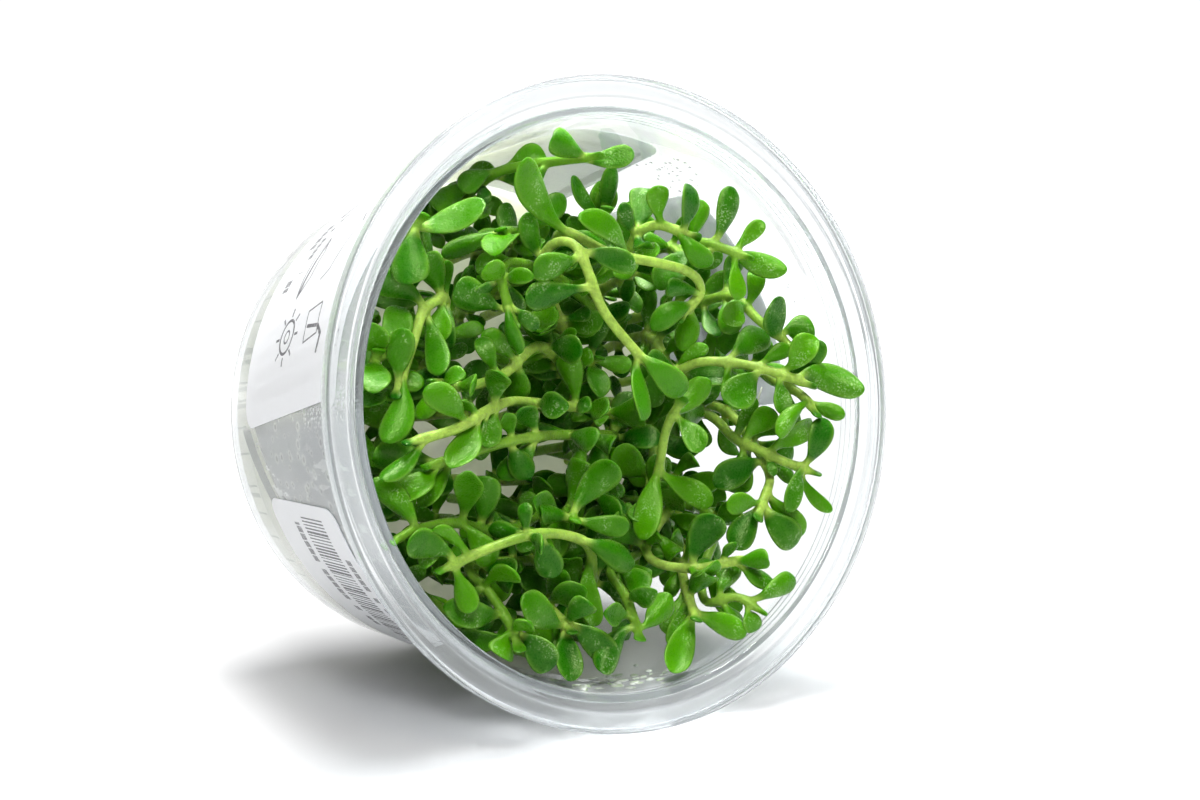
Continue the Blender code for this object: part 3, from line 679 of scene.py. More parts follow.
def cup_profile(cup):
    """The turned outline: out along the base, up the wall, over the flange and down inside."""
    base = mm(cup.base_radius)
    rim = mm(cup.rim_radius)
    top = mm(cup.height)
    wall = mm(cup.wall)
    corner = mm(cup.corner)

    def outside(height):
        return base + WALL_SLOPE * height

    def inside(height):
        return outside(height) - wall

    lean = math.degrees(math.atan(WALL_SLOPE))
    corner_middle = outside(corner * 0.903) - corner * math.cos(math.radians(lean))
    points = [(0, 0), (corner_middle - 2.0, 0)]
    points += arc((corner_middle, corner), corner, -90, -lean, 8)
    points += [(outside(z), z) for z in (12, 24, 36, 46, 54.4)]
    points += [(outside(at) + out, height) for at, out, height in COLLAR_FOOT]
    for k in range(cup.ribs):
        middle = FIRST_RIB + RIBS_HEIGHT * k / max(cup.ribs - 1, 1)
        points += [(outside(middle) + COLLAR_OUT + out, middle + up) for up, out in RIB]
    points += [(outside(60.0) + out, top - down) for out, down in COLLAR_HEAD]
    points += [(rim - inward, top - down) for inward, down in LIP_UNDER]
    points += arc((rim - 0.4, 59.0), 0.22, 180, 360, 4)
    points += [(rim - 0.02, top - 0.6)] + arc((rim - 0.42, top - 0.4), 0.4, 0, 90, 4)
    points += [(rim - inward, top - down) for inward, down in FLANGE_FACE]
    points += arc((inside(LEDGE_HEIGHT) + 0.6, top - 0.9), 0.45, 90, 172, 5)
    points += [(inside(59.0), 59.0), (inside(54.0), 54.0)]
    points += [(inside(z), z) for z in (50, 40, 30, 20, 10)]
    floor_corner = corner - wall
    floor_middle = inside(3.0) - floor_corner * math.cos(math.radians(lean))
    points += arc((floor_middle, FLOOR_THICKNESS + floor_corner), floor_corner, -lean, -90, 6)
    points += [(0, FLOOR_THICKNESS)]
    return points


def clear_plastic(cup):
    """Thin moulded plastic; on the left the inner wall is misted and has drops and smears. Painted
    into it: grey shade in the mist, highlight rings round the drops, a shade band along the gel's
    edge, shade lines along the cup's edges, and extra milk at the collar for the light its bends
    throw back.
    """
    paint = Paint("clear_moulded_plastic")
    place = paint.object_place()
    wrap = paint.add("ShaderNodeUVMap", {"uv_map": "wrap"})
    across = paint.add("ShaderNodeSeparateXYZ", {}, {0: wrap})
    turn, height = across.output("X") * 360.0, across.output("Y") * HEIGHT
    inside = paint.add("ShaderNodeAttribute", {"attribute_name": "inside"}).output("Fac")
    on_skin = paint.add("ShaderNodeCombineXYZ", {}, {0: turn * 0.72, 1: height})
    above_gel = height - (turn - 178.0) * 0.42 - 8.7
    left = paint.band(turn, *MIST_TURNS, 3.0) * inside

    # The rings round the drops are painted white as their highlights
    drop, drop_glint_rim = wall_drops(paint, on_skin, 0.42, 0.40)
    dropped = paint.band(turn, *DROP_TURNS, 3.0) * paint.band(height, *DROP_HEIGHTS, 3.0)
    speck, _ = wall_drops(paint, on_skin, 1.5, 0.42)
    specked = paint.band(turn, *SPECK_TURNS, 3.0) * paint.band(height, *SPECK_HEIGHTS, 3.0)
    flow = paint.noise(place, 45.0, 3.0)
    streaks = paint.noise(paint.vector("MULTIPLY", on_skin, (1.0, 0.3, 1.0)), 0.42, 3.0, 0.6)
    smeared = paint.ramp(streaks, 0.54, 0.60) * paint.band(turn, *SMEAR_TURNS, 2.0) * (
        paint.band(above_gel, *SMEAR_START, 0.8) + paint.band(height, *SMEAR_HEIGHTS, 3.0) * 0.8)
    # Painted shade: a band along the gel's edge
    gel_edge_shade = paint.band(above_gel, *CRESCENT_WIDTH, 0.3) * paint.band(turn, *CRESCENT_TURNS, 1.4)

    misted = left * paint.ramp(above_gel + flow * 2.4, *MIST_START) * paint.ramp(height, 59.0, 58.0)
    # Besides the mist, this factor lays the painted marks over the wall: the shade band along the
    # gel's edge, the highlight rings round the drops and the shade lines along the cup's edges
    mist_and_painted_shade = paint.maths("MAXIMUM", misted * (flow * 0.25 + 0.72), gel_edge_shade * inside * 0.75)
    mist_and_painted_shade = paint.maths("MAXIMUM", mist_and_painted_shade, (drop_glint_rim * dropped + speck * specked) * inside * 0.9)
    mist_and_painted_shade = paint.maths("MAXIMUM", mist_and_painted_shade - drop * dropped * 0.35, smeared * inside * 0.9)
    # Lines painted along the cup's edges and the flange's crease: painted shade
    edge_shade = paint.add("ShaderNodeAttribute", {"attribute_name": "edge_shade"}).output("Fac")
    mist_and_painted_shade = paint.maths("MAXIMUM", mist_and_painted_shade, edge_shade * 0.45)
    # White for the smears and specks, and for the painted highlight rings round the drops
    white = paint.maths("MAXIMUM", smeared, drop_glint_rim * dropped + speck * specked)
    # The fog's grey is partly painted shade
    shade = paint.mix(flow, tuple(cup.mist_and_painted_shade), tuple(c * 0.9 for c in cup.mist_and_painted_shade))
    # Colour of the painted shade band along the gel's edge
    shade = paint.mix(gel_edge_shade, shade, (0.22, 0.25, 0.24))
    shade = paint.mix(white, shade, (0.86, 0.88, 0.87))
    # Colour of the painted shade lines along the cup's edges
    shade = paint.mix(edge_shade, shade, (0.10, 0.11, 0.115))

    scuffs = paint.ramp(paint.noise(place, 600.0, 3.0), 0.62, 0.8)
    clear = paint.principled(Base_Color=tuple(cup.tint), Roughness=scuffs * 0.1 + 0.015,
                             IOR=1.46, Transmission_Weight=1.0,
                             Normal=paint.bump(paint.noise(place, 70.0, 2.0), 0.00012, 0.5))
    grain = paint.noise(place, 2500.0, 2.0)
    fog = paint.principled(Base_Color=shade, Roughness=grain * 0.3 + 0.3,
                           Normal=paint.bump(grain, 0.0001, 0.4))
    milk = paint.blend(0.5, paint.add("ShaderNodeBsdfTranslucent", {}, {"Color": tuple(cup.milk)}),
                       paint.add("ShaderNodeBsdfDiffuse", {}, {"Color": tuple(cup.milk)}))
    # Faint milk all over the plastic; the extra milk at the collar and flange is painted reflection,
    # standing in for the light their bends throw back
    milk_and_collar_glare = paint.ramp(height, 54.4, 56.4) * 0.10 + 0.07
    depth = paint.add("ShaderNodeVolumeAbsorption", {},
                      {"Color": (0.76, 0.82, 0.82), "Density": 110.0})
    body = paint.blend(mist_and_painted_shade, paint.blend(milk_and_collar_glare, clear, milk), fog)
    return paint.finish(paint.lets_lamps_through(body, (0.84, 0.85, 0.86)), depth)


def wall_drops(paint, on_skin, scale, largest):
    """Round drops, one to a cell of the wall: where they are, and a ring round each for a painted
    highlight.
    """
    cells = paint.add("ShaderNodeTexVoronoi", {"voronoi_dimensions": "2D"},
                      {"Vector": on_skin, "Scale": scale})
    chance = paint.add("ShaderNodeSeparateColor", {}, {"Color": cells.output("Color")})
    away = cells / (chance * largest + 0.02)
    return paint.ramp(away, 1.0, 0.9), paint.band(away, 0.5, 0.96, 0.1)


class HYSSOP_OT_cup(bpy.types.Operator):
    """Turn the clear cup with its flange"""
    bl_idname = "hyssop.cup"
    bl_label = "Cup"

    def execute(self, context):
        cup = context.scene.hyssop.cup
        bm = turned(cup_profile(cup), cup.steps)
        wrap_uv(bm, 0.0, HEIGHT)
        inside = bm.verts.layers.float.new("inside")
        # How deep the shade painted along the cup's edges is, at each corner
        edge_shade = bm.verts.layers.float.new("edge_shade")
        for vert in bm.verts:
            reach = math.hypot(vert.co.x, vert.co.y)
            vert[inside] = float(reach - outer_wall(vert.co.z) < -mm(cup.wall) / 2)
            inward, level = mm(cup.rim_radius) - reach, vert.co.z
            for darkness, near, far, low, high in PAINTED_EDGE_LINES:
                if near < inward < far and low < level < high:
                    vert[edge_shade] = darkness
        finish_piece(bm, "clear_cup", clear_plastic(cup), ["cup"], 50)
        return {"FINISHED"}


# Gel

# Rings on the gel's surface, which its ripples lift and lower, and the corner at its foot
GEL_RINGS = (35.8, 33, 30, 27, 24, 21, 18, 15, 12, 9, 6, 3, 0)
GEL_RIPPLE = 0.12
GEL_CORNER = 2.2
GEL_FOOT = 34.0
TOUCH = 0.02


def gel_profile(gel):
    """The turned outline, just inside the cup: out along its floor, up its wall, over the top."""
    top = mm(gel.top)
    rise = mm(gel.meniscus)
    low = FLOOR_THICKNESS + TOUCH
    edge = inner_wall(top) - TOUCH
    points = [(0, low), (GEL_FOOT, low)]
    points += arc((35.7, low + GEL_CORNER), GEL_CORNER, -80, -8, 5)
    points += [(inner_wall(5.0) - TOUCH, 5.0), (edge + 0.05, top + rise)]
    points += [(edge - 0.35, top + rise * 0.45), (edge - 0.9, top + rise * 0.15)]
    points += [(r, top) for r in GEL_RINGS]
    return points


def nutrient_gel(gel):
    """Cloudy gel, clearer in patches, with thin roots at its side and a moist surface."""
    paint = Paint("nutrient_jelly")
    place = paint.object_place()
    wrap = paint.add("ShaderNodeUVMap", {"uv_map": "wrap"})
    wraps = paint.add("ShaderNodeSeparateXYZ", {}, {0: wrap})
    turn = wraps.output("X") * 360.0
    cloud = paint.ramp(paint.noise(place, 90.0, 4.0, 0.6), 0.35, 0.68)
    specks = paint.ramp(paint.noise(place, 900.0, 2.0), 0.66, 0.74)
    color = paint.mix(cloud, tuple(gel.milk), tuple(gel.clear))
    color = paint.mix(specks * 0.5, color, (0.9, 0.9, 0.82))
    step = turn / 6.5
    root = paint.add("ShaderNodeTexWhiteNoise", {"noise_dimensions": "1D"},
                     {"W": paint.maths("FLOOR", step)})
    wander = (paint.noise(place, 180.0, 2.0) - 0.5) * 0.25
    off = abs(paint.maths("FRACT", step) - root * 0.7 - 0.15 + wander)
    up = wraps.output("Y")
    at_side = paint.ramp(up, 0.11, 0.14) * (up < 0.97)
    rooted = paint.ramp(off, 0.06, 0.02)
    for seen in ROOTS_AT_SIDE:
        rooted = paint.maths("MAXIMUM", rooted, paint.ramp(abs(turn - seen + wander), 0.8, 0.3))
    color = paint.mix(rooted * at_side * 0.9, color, (0.11, 0.17, 0.10))
    ripples = paint.noise(place, 260.0, 3.0)
    jelly = paint.principled(Base_Color=color, Roughness=cloud * 0.15 + 0.16, IOR=1.34,
                             Subsurface_Weight=0.5, Subsurface_Radius=(1.0, 1.0, 0.7),
                             Subsurface_Scale=0.004, Coat_Weight=0.3,
                             Normal=paint.bump(ripples, 0.0005, 0.5))
    lit = paint.add("ShaderNodeBsdfTranslucent", {},
                    {"Color": paint.mix(0.35, color, (0.98, 0.94, 0.80))})
    return paint.finish(paint.blend(0.7, jelly, lit))


class HYSSOP_OT_gel(bpy.types.Operator):
    """Pour the nutrient gel into the cup's base"""
    bl_idname = "hyssop.gel"
    bl_label = "Nutrient Gel"

    def execute(self, context):
        gel = context.scene.hyssop.gel
        bm = turned(gel_profile(gel), 96)
        wrap_uv(bm, 0.0, mm(gel.top))
        chance = random.Random(4)
        for vert in bm.verts:
            if abs(vert.co.z - mm(gel.top)) < 0.01:
                vert.co.z += chance.uniform(-GEL_RIPPLE, GEL_RIPPLE)
        finish_piece(bm, "cast_gel", nutrient_gel(gel), ["nutrient_gel"], 50)
        return {"FINISHED"}


# Stickers

STICKER_CLEARANCE = 0.05
CORNER_SPARE = 0.1


class Print:
    """Generic printed marks on a sticker, as masks over its own millimetres."""

    def __init__(self, paint, width, height):
        self.paint = paint
        wrap = paint.add("ShaderNodeUVMap", {"uv_map": "wrap"})
        parts = paint.add("ShaderNodeSeparateXYZ", {}, {0: wrap})
        self.x = parts.output("X") * width
        self.y = parts.output("Y") * height
        self.mask = None

    def stamp(self, mask):
        self.mask = mask if self.mask is None else self.paint.maths("MAXIMUM", self.mask, mask)

    def block(self, left, right, low, high):
        """1 inside a rectangle."""
        return (self.x > left) * (self.x < right) * (self.y > low) * (self.y < high)

    def chance(self, value, seed):
        """A random number for each whole value."""
        cell = self.paint.maths("FLOOR", value) + seed
        return self.paint.add("ShaderNodeTexWhiteNoise", {"noise_dimensions": "1D"},
                              {"W": cell})

    def words(self, left, right, low, high, letter, seed):
        """A row of dashes, each as wide as a few letters."""
        step = self.x / letter
        shown = self.chance(step, seed) > 0.28
        inked = self.paint.maths("FRACT", step) > 0.16
        ragged = self.paint.maths("FRACT", self.y * 1.7 + self.chance(step, seed + 9.5)) > 0.22
        self.stamp(self.block(left, right, low, high) * shown * inked * ragged)

    def bars(self, left, right, low, high, pitch, seed):
        """Upright bars of random width."""
        step = self.x / pitch
        filled = self.paint.maths("FRACT", step) < self.chance(step, seed) * 0.6 + 0.2
        self.stamp(self.block(left, right, low, high) * filled)

    def ring(self, x, y, radius, line):
        self.stamp(abs(self.reach(x, y) - radius) < line / 2)

    def reach(self, x, y):
        """Distance from a point."""
        across = (self.x - x) ** 2.0 + (self.y - y) ** 2.0
        return self.paint.maths("SQRT", across)

    def rays(self, x, y, start, end, count, line):
        """Short strokes that stand round a ring."""
        reach = self.reach(x, y)
        turn = self.paint.maths("ARCTAN2", self.y - y, self.x - x)
        step = TAU / count
        away = self.paint.maths("PINGPONG", turn + TAU, step / 2)
        near = away * reach < line / 2
        self.stamp(near * (reach > start) * (reach < end))

    def stroke(self, start, end, line):
        """A straight stroke between two points."""
        ax, ay = start
        bx, by = end
        dx, dy = bx - ax, by - ay
        size = dx * dx + dy * dy
        share = ((self.x - ax) * (dx / size)) + ((self.y - ay) * (dy / size))
        share = self.paint.add("ShaderNodeClamp", {}, {0: share})
        off_x = self.x - ax - share * dx
        off_y = self.y - ay - share * dy
        away = self.paint.maths("SQRT", off_x ** 2.0 + off_y ** 2.0)
        self.stamp(away < line / 2)

    def strokes(self, points, line):
        for start, end in zip(points, points[1:]):
            self.stroke(start, end, line)


# Rows of small words: left and right end, low and high edge, width of a letter, seed
WORDS = {
    "label_care": ((40, 61, 5.2, 7.4, 1.5, 3.0), (34, 58, 8.6, 10.4, 1.2, 5.0),
                   (8, 44, 28.0, 29.8, 1.4, 7.0), (8, 40, 32.0, 33.4, 1.2, 8.0),
                   (8, 32, 20.0, 21.6, 1.2, 2.0)),
    "label_code": ((3.6, 27.0, 8.2, 10.3, 1.35, 4.0), (9.0, 31.5, 23.0, 25.0, 1.25, 6.0)),
    "label_side": ((6, 30, 22.0, 24.4, 1.7, 1.0), (6, 32, 17.0, 18.6, 1.1, 2.0),
                   (6, 27, 14.0, 15.6, 1.1, 3.0), (6, 30, 11.0, 12.6, 1.1, 4.0)),
}


def print_care(marks):
    """Growing hints: a sun, a beaker, a bent arrow and a leaf."""
    marks.ring(70.2, 16.0, 2.7, 0.5)
    marks.ring(70.2, 16.0, 1.0, 0.35)
    marks.rays(70.2, 16.0, 3.3, 4.7, 8, 0.45)
    marks.strokes([(72.4, 24.5), (67.2, 23.5), (66.4, 28.5), (71.6, 29.7), (72.4, 24.5)], 0.3)
    marks.strokes([(69.8, 24.8), (70.3, 29.4)], 0.6)
    marks.strokes([(70.3, 29.4), (72.0, 31.6), (74.6, 31.2)], 0.7)
    marks.strokes([(61.5, 22.6), (60.0, 24.6), (50.5, 24.8), (48.2, 22.4)], 0.35)
    marks.strokes([(63.5, 14.4), (60.0, 16.6), (55.0, 16.0), (51.5, 13.6), (55.5, 13.0),
                   (60.0, 13.4), (63.5, 14.4)], 0.35)
    marks.stroke((62.5, 14.6), (52.5, 14.4), 0.7)


def print_code(marks):
    """Generic bars of random width."""
    marks.bars(2.4, 31.0, 12.2, 21.2, 0.6, 17.0)


PRINTS = {"label_care": print_care, "label_code": print_code}


def sticker_paper(label, name, width, height):
    """Smooth coated paper; the print on its outer side shows through weakly on the inner one."""
    paint = Paint(name + "_paper")
    place = paint.object_place()
    marks = Print(paint, width, height)
    if name in PRINTS:
        PRINTS[name](marks)
    for row in WORDS[name]:
        marks.words(*row)
    outer = paint.add("ShaderNodeAttribute", {"attribute_name": "printed"}).output("Fac")
    worn = paint.ramp(paint.noise(place, 1400.0, 2.0), 0.3, 0.42)
    ink = marks.mask * ((outer > 0.5) * 0.75 + 0.25) * (worn * 0.35 + 0.6)
    fibre = paint.noise(place, 700.0, 4.0)
    paper = paint.mix(fibre * 0.5, tuple(label.paper), tuple(c * 0.93 for c in label.paper))
    color = paint.mix(ink, paper, tuple(label.ink))
    coated = paint.principled(Base_Color=color, Roughness=fibre * 0.2 + 0.3,
                              Normal=paint.bump(fibre, 0.00005, 0.3))
    glow = paint.add("ShaderNodeBsdfTranslucent", {}, {"Color": color})
    return paint.finish(paint.blend(0.32, coated, glow))


def make_label(label, name, start, end, low, high):
    """A curved sheet on the wall, spun in columns that are wider than its rounded corners."""
    inside = outer_wall(low) + STICKER_CLEARANCE
    start, end = math.radians(start), math.radians(end)
    thick = mm(label.thickness)
    profile = [(inside, low), (inside + thick, low)]
    rise = WALL_SLOPE * (high - low)
    profile += [(inside + thick + rise, high), (inside + rise, high)]
    column = mm(label.corner) + CORNER_SPARE
    columns = math.floor((end - start) * outer_wall(low) / column)
    bm = turned(profile, columns, start, end - start)
    corners = []
    for edge in bm.edges:
        a, b = (v.co for v in edge.verts)
        if abs(a.z - b.z) < 0.01 and edge.calc_length() < 2 * thick:
            turn = math.atan2(a.y, a.x)
            if min(abs(math.remainder(turn - at, TAU)) for at in (start, end)) < 0.001:
                corners.append(edge)
    bmesh.ops.bevel(bm, geom=corners, offset=mm(label.corner), segments=8, profile=0.5,
                    affect="EDGES", material=-1, clamp_overlap=False)
    printed = bm.verts.layers.float.new("printed")
    for vert in bm.verts:
        out = math.hypot(vert.co.x, vert.co.y) - outer_wall(vert.co.z)
        vert[printed] = float(out > STICKER_CLEARANCE + thick / 2)
    wrap_uv(bm, low, high, start, end - start)
    square_up(bm, (start + end) / 2, (low + high) / 2)
    width = (end - start) * outer_wall((low + high) / 2)
    finish = sticker_paper(label, name, width, high - low)
    finish_piece(bm, name + "_sticker", finish, [name])


def square_up(bm, middle, height):
    """Keep a sticker as wide at its high edge as at its low one, though the wall widens."""
    for vert in bm.verts:
        x, y, z = vert.co
        turn = math.remainder(math.atan2(y, x) - middle, TAU)
        turn = middle + turn * outer_wall(height) / outer_wall(z)
        reach = math.hypot(x, y)
        vert.co = Vector((reach * math.cos(turn), reach * math.sin(turn), z))


class HYSSOP_OT_labels(bpy.types.Operator):
    """Stick the three labels on the cup's wall"""
    bl_idname = "hyssop.labels"
    bl_label = "Stickers"

    def execute(self, context):
        for name, place in LABELS.items():
            make_label(context.scene.hyssop.label, name, *place)
        return {"FINISHED"}


# Sprigs: the layout. It places what the solids place, and then the sprigs and small leaves that
# are in the looks alone.


def radius_limit(height):
    """Largest distance from the axis that a leaf may reach at a height."""
    if height > HEIGHT + 0.6:
        return RIM_RADIUS - RIM_MARGIN
    return inner_wall(min(height, LEDGE_HEIGHT)) * math.cos(math.pi / FACETS) - WALL_MARGIN


def kept_inside(point, margin):
    """A point, moved in towards the axis where it is too near the wall."""
    flat = Vector((point[0], point[1], 0))
    limit = radius_limit(point[2]) - margin
    if flat.length > limit:
        flat *= limit / flat.length
    return Vector((flat.x, flat.y, point[2]))


class Stem:
    """A smooth line through the route's points, with a side direction carried along it."""

    def __init__(self, route):
        points = [Vector(p) for p in route]
        points = [points[0]] + [kept_inside(p, STEM_MARGIN) for p in points[1:]]
        raw = []
        for i in range(len(points) - 1):
            before = points[i - 1] if i else 2 * points[0] - points[1]
            a, b = points[i], points[i + 1]
            after = points[i + 2] if i + 2 < len(points) else 2 * b - a
            for k in range(ROUTE_STEPS):
                raw.append(catmull_rom(before, a, b, after, k / ROUTE_STEPS))
        raw.append(points[-1])
        self.marks = [0.0]
        for a, b in zip(raw, raw[1:]):
            self.marks.append(self.marks[-1] + (b - a).length)
        self.raw = raw
        self.length = self.marks[-1]
        self.sides = self.carry_side()

    def carry_side(self):
        tangent = (self.raw[1] - self.raw[0]).normalized()
        side = tangent.cross(Vector((0.3, 1, 0.1))).normalized()
        sides = []
        for i in range(len(self.raw)):
            tangent = self.tangent_near(i)
            side = (side - tangent * side.dot(tangent)).normalized()
            sides.append(side)
        return sides

    def tangent_near(self, i):
        low = max(i - 1, 0)
        high = min(i + 1, len(self.raw) - 1)
        return (self.raw[high] - self.raw[low]).normalized()

    def at(self, along):
        """Place, tangent and side direction at a length along the stem."""
        along = min(max(along, 0.0), self.length)
        i = next(k for k in range(1, len(self.marks)) if self.marks[k] >= along)
        share = (along - self.marks[i - 1]) / (self.marks[i] - self.marks[i - 1])
        place = self.raw[i - 1].lerp(self.raw[i], share)
        tangent = self.tangent_near(i - 1).lerp(self.tangent_near(i), share).normalized()
        side = self.sides[i - 1].lerp(self.sides[i], share)
        side = (side - tangent * side.dot(tangent)).normalized()
        return place, tangent, side

    def radius(self, along):
        """Half the side of the stem's square section."""
        share = along / self.length
        return STEM_ROOT_RADIUS + (STEM_TIP_RADIUS - STEM_ROOT_RADIUS) * share

    def ring(self, along, scale=1.0):
        """The four corners of the stem's square section."""
        place, tangent, side = self.at(along)
        other = tangent.cross(side)
        r = self.radius(along) * scale
        return [place + side * (a * r) + other * (b * r)
                for a, b in ((1, 1), (-1, 1), (-1, -1), (1, -1))]


def catmull_rom(a, b, c, d, t):
    """A point between b and c on the smooth line through four points."""
    return 0.5 * (2 * b + (c - a) * t + (2 * a - 5 * b + 4 * c - d) * t * t
                  + (3 * b - a - 3 * c + d) * t * t * t)


class Leaf:
    """A leaf that grows from one side face of a node."""

    def __init__(self, stem, node, face, tip, width, swing=0.0, lift=0.0, size=1.0):
        self.face = face
        low = stem.ring(node - NODE_HALF)
        high = stem.ring(node + NODE_HALF)
        i, j = face, (face + 1) % 4
        self.base = [low[i], low[j], high[j], high[i]]
        centre = sum(self.base, Vector()) / 4
        place, tangent, _ = stem.at(node)
        out = (centre - place).normalized()
        across = (low[j] - low[i]).normalized()
        reach = (tip - centre) * size
        facing = tangent * 0.6 + OUTWARD
        axis = reach.normalized()
        normal = (facing - axis * facing.dot(axis)).normalized()
        blade = axis.cross(normal)
        if across.cross(tangent).dot(out) * blade.cross(normal).dot(axis) < 0:
            blade = -blade
        if blade.dot(across) + normal.dot(tangent) < 0:
            blade, normal = -blade, -normal
        turn = Matrix.Rotation(lift, 3, blade) @ Matrix.Rotation(swing, 3, normal)
        reach = turn @ reach
        normal = turn @ normal
        blade = turn @ blade
        self.tip = centre + reach
        self.length = reach.length
        bend = centre + out * (LEAF_RISE * self.length) + reach * LEAF_BEND
        self.path = (centre, bend, self.tip)
        self.width = width * (0.5 + 0.5 * size)
        self.blade = blade
        self.normal = normal
        self.across = across
        self.tangent = tangent

    def place(self, t):
        """A point on the leaf's curved middle line."""
        a, b, c = self.path
        return a * (1 - t) ** 2 + b * (2 * t * (1 - t)) + c * t * t

    def section(self, t, half_width, half_thick):
        """The four corners of the leaf's section, in the order of its base."""
        here = self.place(t)
        mix = min(t / LEAF_TURNED, 1.0)
        blade = self.across.lerp(self.blade, mix).normalized()
        normal = self.tangent.lerp(self.normal, mix).normalized()
        w, n = blade * half_width, normal * half_thick
        return [here - w - n, here + w - n, here + w + n, here - w + n]

    def rings(self, extra=0.0):
        """Widest section and tip; the tip is thin."""
        widest = self.section(LEAF_WIDEST, self.width / 2 + extra, LEAF_THICKNESS / 2 + extra)
        tip = self.section(1.0, self.width * 0.2 + extra, extra)
        return [widest, tip]

    def cage(self, start=0.0):
        """A slightly swollen copy, used to keep leaves clear of each other."""
        if start == 0.0:
            first = self.section(0.12, 1.0, 0.8)
        else:
            first = self.section(start, self.width * 0.4, LEAF_THICKNESS / 2 + CLEARANCE)
        return [first] + self.rings(CLEARANCE)


def tree_of(rings):
    """A search tree for a closed tube through rings of four corners."""
    points = [p for ring in rings for p in ring]
    faces = []
    for r in range(len(rings) - 1):
        for k in range(4):
            a = 4 * r + k
            b = 4 * r + (k + 1) % 4
            faces.append((a, b, b + 4))
            faces.append((a, b + 4, a + 4))
    last = 4 * (len(rings) - 1)
    faces += [(0, 1, 2), (0, 2, 3), (last, last + 1, last + 2), (last, last + 2, last + 3)]
    return BVHTree.FromPolygons(points, faces), points


class Space:
    """What is already placed, as swollen tubes with their boxes."""

    def __init__(self):
        self.items = []

    def add(self, rings, owner):
        tree, points = tree_of(rings)
        self.items.append((tree, box_of(points), owner))

    def free(self, rings, skip=None):
        tree, points = tree_of(rings)
        low, high = box_of(points)
        for other, (olow, ohigh), owner in self.items:
            if owner == skip:
                continue
            if any(low[k] > ohigh[k] or high[k] < olow[k] for k in range(3)):
                continue
            if tree.overlap(other):
                return False
        return True


def box_of(points):
    """Lowest and highest corner of the box round points."""
    low = tuple(min(p[k] for p in points) for k in range(3))
    high = tuple(max(p[k] for p in points) for k in range(3))
    return low, high


class Sprig:
    """One stem with its leaves, grown as one piece."""

    def __init__(self, name, route, wanted):
        self.name = name
        self.wanted = wanted
        self.stem = Stem(route)
        self.nodes = {}

    def stem_rings(self, extra=0.0):
        rings = []
        steps = max(2, math.ceil(self.stem.length / 2.0))
        for k in range(steps + 1):
            along = self.stem.length * k / steps
            scale = 1 + extra / self.stem.radius(along)
            rings.append(self.stem.ring(along, scale))
        return rings

    def node_for(self, along, reach_to):
        """The node and side face that best carry a leaf to a tip."""
        top = self.stem.length - NODE_HALF - 0.25
        along = min(max(along, LOWEST_NODE), top)
        near = [n for n in self.nodes if abs(n - along) < NODE_SPACING]
        for node in sorted(near, key=lambda n: abs(n - along)) or [along]:
            face = self.best_face(node, reach_to)
            if face is not None:
                return node, face
        if not near:
            return None, None
        along = min(near) - NODE_SPACING
        if along < LOWEST_NODE or any(abs(n - along) < NODE_SPACING * 0.98 for n in self.nodes):
            return None, None
        return along, self.best_face(along, reach_to)

    def best_face(self, node, reach_to):
        """The free side face of a node that looks most towards a tip."""
        place, _, _ = self.stem.at(node)
        ring = self.stem.ring(node)
        taken = self.nodes.get(node, {})
        scores = []
        for face in range(4):
            if face not in taken:
                out = (ring[face] + ring[(face + 1) % 4]) / 2 - place
                scores.append((out.normalized().dot((reach_to - place).normalized()), face))
        if not scores or max(scores)[0] < 0.05:
            return None
        return max(scores)[1]


def inside_cup(rings):
    """Whether a leaf's sections stay over the gel and off the wall."""
    for ring in rings:
        for p in ring:
            if p.z < GEL_TOP + GAP or math.hypot(p.x, p.y) > radius_limit(p.z) + 0.1:
                return False
    return True


def place_leaf(sprig, space, along, tip, width, tries):
    """Grow a leaf to a tip, turned and shortened as little as its neighbours allow."""
    node, face = sprig.node_for(along, tip)
    if face is None:
        return False
    for swing, lift, size in tries:
        leaf = Leaf(sprig.stem, node, face, tip, width, math.radians(swing),
                    math.radians(lift), size)
        cage = leaf.cage()
        outer = leaf.cage(0.4)
        if not inside_cup(cage[1:]) or not space.free(cage, skip=sprig.name):
            continue
        if not space.free(outer):
            continue
        sprig.nodes.setdefault(node, {})[face] = leaf
        space.add(cage, sprig.name + "_leaf")
        return True
    return False


PLACED_TRIES = [(swing, lift, size) for size in (1.0, 0.86, 0.72)
                for lift in (0, 12, -12, 24, -24, 38)
                for swing in (0, 12, -12, 26, -26)]
GROWN_TRIES = [(swing, lift, size) for size in (1.0, 0.8, 0.62)
               for lift in (0, 18, -18, 34) for swing in (0, 24, -24)]


def filler_routes(chance):
    """Short sprigs deep in the cup, spread evenly round its axis."""
    routes = []
    for k in range(FILLER_COUNT):
        turn = GOLDEN_TURN * k + 0.7
        radius = FILLER_REACH * math.sqrt((k + 0.6) / FILLER_COUNT)
        x, y = radius * math.cos(turn), radius * math.sin(turn)
        lean = chance.uniform(-0.12, 0.12)
        high = chance.uniform(*FILLER_HEIGHTS)
        routes.append(((x, y, ROOT_HEIGHT), (x * (1.05 + lean), y * 1.05, 22),
                       (x * (1.0 - lean), y * (1.1 + lean), high)))
    return routes


def shade_routes():
    """Routes of the sprigs that are in the looks alone: those at the left, and an even spread."""
    routes = list(SHADE_ROUTES)
    for k in range(SHADE_COUNT):
        turn = GOLDEN_TURN * k + 2.0
        x, y = (SHADE_REACH * math.sqrt((k + 0.5) / SHADE_COUNT) * f
                for f in (math.cos(turn), math.sin(turn)))
        routes.append(((x, y, ROOT_HEIGHT), (x + 1.5, y * 1.06, 22), (x - 1.0, y * 1.03, 37)))
    return routes


